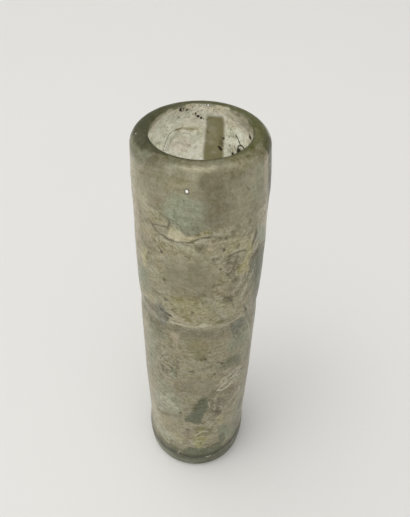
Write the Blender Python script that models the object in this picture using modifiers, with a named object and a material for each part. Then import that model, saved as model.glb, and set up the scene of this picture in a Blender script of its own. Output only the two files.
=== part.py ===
"""A tall, narrow, tubular vase of hand-blown glass, standing on its base.

Units are metres, +Z is up, and the origin is the centre of the underside.
The vase is one piece of glass: a turned shell with a thick in-turned lip, a
waist, a swollen foot and a shallow push-up under the floor, worked slightly
out of true, as blowing leaves it.
"""
import math

import bpy

MM = 0.001

# Driving dimensions
HEIGHT = 150.0 * MM
SEGMENTS = 72

# Outer side, as (height, radius), from the shoulder down to the foot
OUTER_SIDE = [
    (146.4 * MM, 18.92 * MM),
    (141.5 * MM, 19.22 * MM),
    (137.0 * MM, 19.52 * MM),
    (132.0 * MM, 19.66 * MM),
    (127.0 * MM, 19.64 * MM),
    (121.0 * MM, 19.75 * MM),
    (115.5 * MM, 19.98 * MM),
    (106.0 * MM, 20.06 * MM),
    (97.5 * MM, 20.04 * MM),
    (93.0 * MM, 19.84 * MM),
    (89.0 * MM, 19.48 * MM),
    (85.5 * MM, 19.70 * MM),
    (81.0 * MM, 19.84 * MM),
    (66.0 * MM, 19.82 * MM),
    (50.0 * MM, 19.90 * MM),
    (40.0 * MM, 19.72 * MM),
    (30.0 * MM, 19.52 * MM),
    (21.0 * MM, 19.34 * MM),
    (16.5 * MM, 19.32 * MM),
    (12.0 * MM, 19.84 * MM),
    (7.0 * MM, 19.96 * MM),
    (3.2 * MM, 19.70 * MM),
]

# Lip: its crown, close to the mouth, and the mouth inside it
CROWN_RADIUS = 14.5 * MM
MOUTH_RADIUS = 13.75 * MM

# Inner side, as (height, radius), from the mouth down to the floor's corner
INNER_SIDE = [
    (149.2 * MM, MOUTH_RADIUS),
    (148.2 * MM, 13.90 * MM),
    (146.0 * MM, 15.10 * MM),
    (143.0 * MM, 16.35 * MM),
    (139.0 * MM, 16.95 * MM),
    (118.0 * MM, 17.10 * MM),
    (94.0 * MM, 17.10 * MM),
    (60.0 * MM, 16.95 * MM),
    (28.0 * MM, 16.75 * MM),
    (8.2 * MM, 16.60 * MM),
]
FLOOR_HEIGHT = 5.2 * MM
FLOOR_RISE = 0.6 * MM

# Underside: a flat standing ring round a shallow push-up
STAND_OUTER_RADIUS = 16.8 * MM
STAND_INNER_RADIUS = 13.0 * MM
PUSH_UP_HEIGHT = 1.3 * MM

# How far the blown form strays from a true turned one
OVALITY = 0.0035
OVAL_TURN = math.radians(35.0)
BODY_BOW = 0.16 * MM
LIP_BOW = -0.28 * MM
LIP_LEAN = 0.45 * MM
LIP_FALL = 0.14 * MM
LIP_SPAN = 30.0 * MM
WAIST_TILT = 0.045

GLASS_COLOUR = (0.285, 0.262, 0.166, 1.0)
GLASS_ROUGHNESS = 0.45


def smooth_curve(stations, steps):
    """Points of a Catmull-Rom curve through (height, radius) stations, as (radius, height)."""
    points = []
    last = len(stations) - 1
    for index in range(last):
        before = stations[max(index - 1, 0)]
        start = stations[index]
        end = stations[index + 1]
        after = stations[min(index + 2, last)]
        for step in range(steps):
            t = step / steps
            height, radius = (
                0.5 * (2 * b + (c - a) * t + (2 * a - 5 * b + 4 * c - d) * t**2
                       + (3 * b - a - 3 * c + d) * t**3)
                for a, b, c, d in zip(before, start, end, after)
            )
            points.append((radius, height))
    points.append((stations[last][1], stations[last][0]))
    return points


def ellipse_arc(centre, size, start, end, steps):
    """Points along an ellipse's arc in the profile plane, from start to end degrees."""
    points = []
    for step in range(steps + 1):
        angle = math.radians(start + (end - start) * step / steps)
        points.append((centre[0] + size[0] * math.cos(angle), centre[1] + size[1] * math.sin(angle)))
    return points


def vase_profile():
    """The wall's closed section, from the floor's centre up the inside, over the lip and down."""
    shoulder_height, shoulder_radius = OUTER_SIDE[0]
    foot_height, foot_radius = OUTER_SIDE[-1]
    corner_height, corner_radius = INNER_SIDE[-1]
    mouth_height = INNER_SIDE[0][0]
    shoulder = ellipse_arc(
        (CROWN_RADIUS, shoulder_height),
        (shoulder_radius - CROWN_RADIUS, HEIGHT - shoulder_height), 90, 0, 5)
    side = smooth_curve(OUTER_SIDE, 1)
    foot_corner = ellipse_arc(
        (STAND_OUTER_RADIUS, foot_height),
        (foot_radius - STAND_OUTER_RADIUS, foot_height), 0, -90, 4)
    push_up = [
        (STAND_INNER_RADIUS, 0.0),
        (STAND_INNER_RADIUS * 0.72, PUSH_UP_HEIGHT * 0.62),
        (STAND_INNER_RADIUS * 0.36, PUSH_UP_HEIGHT * 0.93),
        (0.0, PUSH_UP_HEIGHT),
    ]
    floor_corner_size = corner_height - FLOOR_HEIGHT
    floor = [(0.0, FLOOR_HEIGHT + FLOOR_RISE), (corner_radius * 0.45, FLOOR_HEIGHT + FLOOR_RISE * 0.6)]
    floor_corner = ellipse_arc(
        (corner_radius - floor_corner_size, corner_height),
        (floor_corner_size, floor_corner_size), -90, 0, 4)
    inner = smooth_curve(INNER_SIDE, 2)[::-1]
    mouth = ellipse_arc(
        (CROWN_RADIUS, mouth_height),
        (CROWN_RADIUS - MOUTH_RADIUS, HEIGHT - mouth_height), 180, 90, 5)
    inside = floor + floor_corner + inner[1:-1] + mouth
    outside = shoulder[1:] + side[1:-1] + foot_corner + push_up
    return inside + outside


def bump(height, centre, width):
    """A smooth hump of height 1 about a centre, along the vase's height."""
    return math.exp(-(((height - centre) / width) ** 2))


def hand_blown(point):
    """Move a point of the turned form to where the blown form has it."""
    x, y, z = point
    radius = math.hypot(x, y)
    if radius < 1e-6:
        return point
    clear_of_base = min(z / (20.0 * MM), 1.0)
    angle = math.atan2(y, x)
    oval = 1.0 + OVALITY * clear_of_base * math.cos(2.0 * (angle - OVAL_TURN))
    lip = bump(z, 151.0 * MM, 9.0 * MM)
    bow = BODY_BOW * bump(z, 106.0 * MM, 22.0 * MM) + LIP_BOW * lip
    drop = WAIST_TILT * x * bump(z, 89.0 * MM, 9.0 * MM)
    drop += LIP_FALL * (0.5 + y / LIP_SPAN) * lip
    return (x * oval + bow, y * oval + LIP_LEAN * lip, z - drop)


def turned_mesh(name, profile):
    """Spin a profile once round Z with a Screw modifier and return the result as a mesh."""
    mesh = bpy.data.meshes.new(name + "_profile")
    edges = [(i, i + 1) for i in range(len(profile) - 1)]
    mesh.from_pydata([(radius, 0.0, height) for radius, height in profile], edges, [])
    guide = bpy.data.objects.new(name + "_profile", mesh)
    bpy.context.scene.collection.objects.link(guide)
    screw = guide.modifiers.new("turn", "SCREW")
    screw.axis = "Z"
    screw.angle = 2.0 * math.pi
    screw.steps = SEGMENTS
    screw.render_steps = SEGMENTS
    screw.use_merge_vertices = True
    screw.merge_threshold = 0.00001
    depsgraph = bpy.context.evaluated_depsgraph_get()
    turned = bpy.data.meshes.new_from_object(guide.evaluated_get(depsgraph))
    bpy.data.objects.remove(guide)
    bpy.data.meshes.remove(mesh)
    turned.name = name
    return turned


def glass_material():
    """Weathered olive-brown glass, matte with age."""
    material = bpy.data.materials.new("weathered_glass")
    material.use_nodes = True
    shader = material.node_tree.nodes["Principled BSDF"]
    shader.inputs["Base Color"].default_value = GLASS_COLOUR
    shader.inputs["Roughness"].default_value = GLASS_ROUGHNESS
    shader.inputs["Metallic"].default_value = 0.0
    material.diffuse_color = GLASS_COLOUR
    return material


def make_vase(collection):
    """The whole vessel, one piece of glass, hollow and open at the mouth."""
    mesh = turned_mesh("glass_vase", vase_profile())
    for vertex in mesh.vertices:
        vertex.co = hand_blown(vertex.co)
    mesh.shade_smooth()
    mesh.set_sharp_from_angle(angle=math.radians(40.0))
    mesh.materials.append(glass_material())
    vase = bpy.data.objects.new("glass_vase", mesh)
    collection.objects.link(vase)
    return vase


for old in list(bpy.data.objects):
    bpy.data.objects.remove(old)

vase_collection = bpy.data.collections.new("tubular_glass_vase")
bpy.context.scene.collection.children.link(vase_collection)
make_vase(vase_collection)
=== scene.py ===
import math

import bmesh
import bpy
import numpy as np
from mathutils import Matrix, Vector, noise


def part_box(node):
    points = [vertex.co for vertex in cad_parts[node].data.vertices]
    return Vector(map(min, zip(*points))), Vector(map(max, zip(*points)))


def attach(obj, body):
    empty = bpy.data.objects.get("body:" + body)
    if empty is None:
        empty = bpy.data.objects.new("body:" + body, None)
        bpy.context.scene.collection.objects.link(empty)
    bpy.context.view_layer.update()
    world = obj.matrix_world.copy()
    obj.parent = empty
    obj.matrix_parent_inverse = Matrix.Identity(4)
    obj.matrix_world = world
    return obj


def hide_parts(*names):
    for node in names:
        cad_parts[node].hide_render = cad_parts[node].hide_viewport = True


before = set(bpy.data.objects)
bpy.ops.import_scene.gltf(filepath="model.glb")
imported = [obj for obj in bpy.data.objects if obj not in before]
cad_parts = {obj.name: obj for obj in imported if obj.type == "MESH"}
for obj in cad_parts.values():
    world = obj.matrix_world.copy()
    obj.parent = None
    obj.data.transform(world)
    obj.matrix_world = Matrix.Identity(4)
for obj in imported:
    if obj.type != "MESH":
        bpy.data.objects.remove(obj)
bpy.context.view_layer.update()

vaseLow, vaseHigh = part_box("glass_vase")
tall = 150.0               # the vase's height in its own millimetres
mm = (vaseHigh.z - vaseLow.z) / tall


camera = {
    "distance": 126.6,     # from the vase's axis
    "height": 225.0,
    "tilt": 43.81,         # degrees below level
    "turn": 0.79,
    "roll": 1.56,
    "lens": 38.3,
    "sensor": 36.0,
    "nearest": 0.005,      # metres
}

room = {
    "floorSize": 3000.0,
    "floorColour": (0.80, 0.79, 0.765, 1.0),
    "floorCloud": (0.775, 0.765, 0.742, 1.0),
    "floorRoughness": 0.6,
    "floorGloss": 0.25,
    "skyColour": (1.0, 0.997, 0.988, 1.0),
    "shadeLight": 0.28,            # how bright the sky is away from the window
    "windowLight": 1.25,           # and how much brighter towards it
    "windowSide": (-0.56, -0.38, 0.735),
    "lampPlace": (-330.0, -180.0, 960.0),
    "lampAim": (0.0, 0.0, 100.0),
    "lampSize": 320.0,
    "lampPower": 0.9,
    "lampColour": (1.0, 0.985, 0.955),
}


def addObject(name, data):
    made = bpy.data.objects.new(name, data)
    bpy.context.scene.collection.objects.link(made)
    return made


def makeCamera():
    made = addObject("camera", bpy.data.cameras.new("camera"))
    made.data.lens = camera["lens"]
    made.data.sensor_width = camera["sensor"]
    made.data.clip_start = camera["nearest"]
    turn = Matrix.Rotation(math.radians(-camera["turn"]), 4, "Z")
    tilt = Matrix.Rotation(math.radians(90.0 - camera["tilt"]), 4, "X")
    roll = Matrix.Rotation(math.radians(camera["roll"]), 4, "Z")
    place = Vector((0.0, -camera["distance"], camera["height"])) * mm
    made.matrix_world = Matrix.Translation(place) @ turn @ tilt @ roll
    bpy.context.scene.camera = made


def makeFloor():
    bm = bmesh.new()
    bmesh.ops.create_grid(bm, x_segments=1, y_segments=1, size=room["floorSize"] * mm / 2)
    mesh = bpy.data.meshes.new("floor")
    bm.to_mesh(mesh)
    bm.free()
    mesh.materials.append(floorFinish())
    floor = addObject("floor", mesh)


def makeSky():
    world = bpy.data.worlds.new("sky")
    bpy.context.scene.world = world
    world.use_nodes = True
    sky = Nodes(world.node_tree, "World")
    way = sky.node("TexCoord", {}, {}, "Generated")
    facing = sky.node("VectorMath", {"operation": "DOT_PRODUCT"},
                      {0: way, 1: room["windowSide"]}, "Value")
    window = sky.node("Math", {"operation": "MAXIMUM"}, {0: facing, 1: 0.0})
    light = window * room["windowLight"] + room["shadeLight"]
    sky.show(sky.node("Background", {}, {"Color": room["skyColour"], "Strength": light}))
    bpy.context.scene.view_settings.view_transform = "Standard"


def makeLamp():
    light = bpy.data.lights.new("lamp", "AREA")
    light.shape = "DISK"
    light.size = room["lampSize"] * mm
    light.energy = room["lampPower"]
    light.color = room["lampColour"]
    place = Vector(room["lampPlace"]) * mm
    turn = (Vector(room["lampAim"]) * mm - place).to_track_quat("-Z", "Y")
    lamp = addObject("lamp", light)
    lamp.matrix_world = Matrix.Translation(place) @ turn.to_matrix().to_4x4()


class Wire:
    # a socket that plain arithmetic works on: each sign adds its Math node
    def __init__(self, nodes, socket):
        self.nodes = nodes
        self.socket = socket

    def maths(self, operation, first, second):
        return self.nodes.node("Math", {"operation": operation}, {0: first, 1: second})

    def __add__(self, other):
        return self.maths("ADD", self, other)

    def __sub__(self, other):
        return self.maths("SUBTRACT", self, other)

    def __rsub__(self, other):
        return self.maths("SUBTRACT", other, self)

    def __mul__(self, other):
        return self.maths("MULTIPLY", self, other)

    __radd__ = __add__
    __rmul__ = __mul__


class Nodes:
    # a material's or a world's nodes, each made by one call
    def __init__(self, tree, kind="Material"):
        tree.nodes.clear()
        self.tree = tree
        self.end = tree.nodes.new("ShaderNodeOutput" + kind)

    def node(self, kind, settings, inputs, output=0):
        made = self.tree.nodes.new("ShaderNode" + kind)
        for key, value in settings.items():
            setattr(made, key, value)
        for key, value in inputs.items():
            if isinstance(value, Wire):
                self.tree.links.new(value.socket, made.inputs[key])
            else:
                made.inputs[key].default_value = value
        return Wire(self, made.outputs[output])

    def between(self, value, low, high):
        # 0 below low, 1 above high, and smooth between
        return self.node("MapRange", {"interpolation_type": "SMOOTHSTEP"},
                         {"Value": value, "From Min": low, "From Max": high})

    def unsigned(self, value):
        return self.node("Math", {"operation": "ABSOLUTE"}, {0: value})

    def blend(self, share, first, second, kind="MIX"):
        return self.node("Mix", {"data_type": "RGBA", "blend_type": kind},
                         {0: share, 6: first, 7: second}, 2)

    def scaled(self, vector, scale):
        return self.node("VectorMath", {"operation": "SCALE"}, {0: vector, "Scale": scale})

    def grain(self, place, scale, detail=2.0, roughness=0.5):
        return self.node("TexNoise", {}, {"Vector": place, "Scale": scale, "Detail": detail,
                                          "Roughness": roughness})

    def show(self, shader):
        self.tree.links.new(shader.socket, self.end.inputs["Surface"])


def newMaterial(name):
    material = bpy.data.materials.new(name)
    material.use_nodes = True
    return material, Nodes(material.node_tree)


def floorFinish():
    material, paint = newMaterial("floorPaint")
    place = paint.node("TexCoord", {}, {}, "Object")
    cloud = paint.grain(place, 6.0, 3.0)
    colour = paint.blend(cloud, room["floorColour"], room["floorCloud"])
    paint.show(paint.node("BsdfPrincipled", {}, {
        "Base Color": colour, "Roughness": room["floorRoughness"],
        "Specular IOR Level": room["floorGloss"]}))
    return material


vase = {
    "segments": 216,
    "frontShare": 0.25,    # how much closer than even the segments are at the front
    "backShare": 0.15,     # and at the back of the inside
    "turnOver": (149.9, 141.0),    # the inside goes from one to the other between these heights
    "rowGap": 0.55,
    "mouthGap": 0.33,      # between the rows over the inside's first stations
    "mouthStations": 6,
    "deepGap": 3.0,        # and between those below them
    "outerSide": [         # (height, radius)
        (146.4, 18.92), (141.5, 19.22), (137.0, 19.52), (132.0, 19.66), (127.0, 19.64),
        (121.0, 19.75), (115.5, 19.98), (106.0, 20.06), (97.5, 20.04), (93.0, 19.84),
        (89.0, 19.48), (85.5, 19.70), (81.0, 19.84), (66.0, 19.82), (50.0, 19.90),
        (40.0, 19.72), (30.0, 19.52), (21.0, 19.34), (16.5, 19.32), (12.0, 19.76),
        (7.0, 19.70), (3.2, 19.32),
    ],
    "crownRadius": 14.5,   # where the lip is highest
    "innerSide": [
        (149.2, 13.75), (148.2, 13.9), (146.0, 15.1), (143.0, 16.35), (139.0, 16.95),
        (129.8, 17.06), (118.0, 17.1), (94.0, 17.1), (60.0, 16.95), (28.0, 16.75), (8.2, 16.6),
    ],
    "wallMiddle": 17.6,    # a radius that lies within the wall
    "crownFrom": 148.6,    # above this, what lies past the crown is outside
    "footTo": 3.3,         # below this, what lies past the standing ring is outside
    "underTo": 1.5,        # and below this everything is
    "floorHeight": 5.2,
    "floorRise": 0.6,
    "standOuter": 16.6,
    "standInner": 13.0,
    "pushUp": 1.3,
    "ovality": 0.0035,
    "ovalTurn": 35.0,
    "ovalFrom": 20.0,      # from this height up the body is fully oval
    "bodyBow": 0.16,
    "lipBow": -0.28,
    "footBow": (-0.28, -0.16),
    "lipLean": 0.45,       # how far the lip leans to the back
    "lipFall": 0.14,       # and how much lower it is there
    "lipSpan": 30.0,
    "waistTilt": 0.045,
    # (height, reach) of each of these bends
    "bodyPlace": (106.0, 22.0),
    "lipPlace": (151.0, 9.0),
    "footPlace": (2.0, 14.0),
    "waistPlace": (89.0, 9.0),
    "skin": 0.04,          # how far the weathered skin lies inside the solid
}


def smoothCurve(stations, gap):
    # points about a gap apart on a Catmull-Rom curve through the stations
    points = []
    last = len(stations) - 1
    for index in range(last):
        near = [stations[max(index - 1, 0)], stations[index], stations[index + 1],
                stations[min(index + 2, last)]]
        steps = max(1, round(math.dist(near[1], near[2]) / gap))
        for step in range(steps):
            t = step / steps
            points.append(tuple(
                0.5 * (2 * b + (c - a) * t + (2 * a - 5 * b + 4 * c - d) * t**2
                       + (3 * b - a - 3 * c + d) * t**3) for a, b, c, d in zip(*near)))
    return points + [tuple(stations[last])]


def wallSide(stations, gap):
    return [(radius, height) for height, radius in smoothCurve(stations, gap)]


def ellipseArc(centre, size, start, end, steps):
    points = []
    for step in range(steps + 1):
        angle = math.radians(start + (end - start) * step / steps)
        points.append((centre[0] + size[0] * math.cos(angle),
                       centre[1] + size[1] * math.sin(angle)))
    return points


def straight(first, last, steps):
    return [(first[0] + (last[0] - first[0]) * step / steps,
             first[1] + (last[1] - first[1]) * step / steps) for step in range(steps + 1)]


def vaseProfile():
    # the wall's section, from the floor's centre up the inside, over the lip and down
    shoulderHeight, shoulderRadius = vase["outerSide"][0]
    footHeight, footRadius = vase["outerSide"][-1]
    cornerHeight, cornerRadius = vase["innerSide"][-1]
    mouthHeight, mouthRadius = vase["innerSide"][0]
    crown = vase["crownRadius"]
    stand = vase["standOuter"]
    cornerSize = cornerHeight - vase["floorHeight"]
    floorEdge = (cornerRadius - cornerSize, vase["floorHeight"])
    floor = straight((0.0, vase["floorHeight"] + vase["floorRise"]), floorEdge, steps=8)
    corner = ellipseArc((floorEdge[0], cornerHeight), (cornerSize, cornerSize), -90, 0, steps=6)
    lowest = vase["mouthStations"] - 1
    deep = wallSide(vase["innerSide"][lowest:], vase["deepGap"])[::-1]
    near = wallSide(vase["innerSide"][:lowest + 1], vase["mouthGap"])[::-1]
    mouth = ellipseArc((crown, mouthHeight), (crown - mouthRadius, tall - mouthHeight),
                       180, 90, steps=9)
    shoulder = ellipseArc((crown, shoulderHeight), (shoulderRadius - crown, tall - shoulderHeight),
                          90, 0, steps=12)
    side = wallSide(vase["outerSide"], vase["rowGap"])
    foot = ellipseArc((stand, footHeight), (footRadius - stand, footHeight), 0, -90, steps=9)
    ring = straight((stand, 0.0), (vase["standInner"], 0.0), steps=4)
    under = [(vase["standInner"] * (1 - step / 8),
              vase["pushUp"] * math.sin(math.pi / 2 * step / 8)) for step in range(9)]
    within = floor + corner[1:] + deep[1:-1] + near + mouth[1:]
    return within + shoulder[1:] + side[1:] + foot[1:] + ring[1:] + under[1:]


def bump(height, centre, width):
    return np.exp(-(((height - centre) / width) ** 2))


def handBlown(points):
    # the turned form's points, in vase millimetres, where blowing left them
    x, y, z = points.T
    turn = 2.0 * (np.arctan2(y, x) - math.radians(vase["ovalTurn"]))
    oval = 1.0 + vase["ovality"] * np.minimum(z / vase["ovalFrom"], 1.0) * np.cos(turn)
    lip = bump(z, *vase["lipPlace"])
    foot = bump(z, *vase["footPlace"])
    bow = vase["bodyBow"] * bump(z, *vase["bodyPlace"]) + vase["lipBow"] * lip
    footRight, footBack = vase["footBow"]
    drop = vase["waistTilt"] * x * bump(z, *vase["waistPlace"])
    drop += vase["lipFall"] * (0.5 + y / vase["lipSpan"]) * lip
    offAxis = np.hypot(x, y) > 0.001
    return np.stack([x * oval + (bow + footRight * foot) * offAxis,
                     y * oval + vase["lipLean"] * lip + footBack * foot, z - drop], axis=1)


def spinVase():
    bm = bmesh.new()
    rim = [bm.verts.new((radius * mm, 0.0, height * mm)) for radius, height in vaseProfile()]
    edges = [bm.edges.new(pair) for pair in zip(rim, rim[1:])]
    bmesh.ops.spin(bm, geom=rim + edges, cent=(0, 0, 0), axis=(0, 0, 1),
                   angle=2 * math.pi, steps=vase["segments"], use_merge=True)
    bmesh.ops.remove_doubles(bm, verts=bm.verts, dist=0.00001)
    bmesh.ops.recalc_face_normals(bm, faces=bm.faces)
    # the segments draw together where the finest marks are
    for vert in bm.verts:
        x, y, z = vert.co / mm
        inward = 0.0
        if math.hypot(x, y) < vase["wallMiddle"] and z < tall:
            inward = smoothStep(z, *vase["turnOver"])
        share = vase["frontShare"] - (vase["frontShare"] + vase["backShare"]) * inward
        vert.co = Matrix.Rotation(-share * math.sin(math.atan2(x, -y)), 3, "Z") @ vert.co
    mesh = bpy.data.meshes.new("weathered_vase")
    bm.to_mesh(mesh)
    bm.free()
    mesh.shade_smooth()
    return mesh


# what the eye calls each tone, as display values from 0 to 1
tones = {
    "greige": (0.553, 0.533, 0.447),
    "beige": (0.590, 0.566, 0.478),
    "pale": (0.680, 0.660, 0.580),
    "brown": (0.492, 0.464, 0.386),
    "rust": (0.490, 0.435, 0.360),
    "olive": (0.445, 0.420, 0.315),
    "yellow": (0.635, 0.610, 0.450),
    "ochre": (0.530, 0.505, 0.375),
    "pink": (0.640, 0.595, 0.530),
    "green": (0.520, 0.540, 0.455),
    "sea": (0.535, 0.560, 0.490),
    "moss": (0.395, 0.415, 0.318),
    "slate": (0.445, 0.455, 0.405),
    "dusk": (0.360, 0.365, 0.290),
    "pearl": (0.700, 0.690, 0.615),
    "sand": (0.660, 0.635, 0.540),
    "strip": (0.455, 0.418, 0.250),
    "umber": (0.435, 0.400, 0.315),
    "straw": (0.615, 0.590, 0.470),
    "bone": (0.690, 0.672, 0.590),
    "haze": (0.600, 0.610, 0.545),
    "ink": (0.312, 0.312, 0.180),
    "slab": (0.430, 0.440, 0.365),
    "lime": (0.590, 0.580, 0.390),
    "mist": (0.555, 0.572, 0.505),
}

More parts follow.
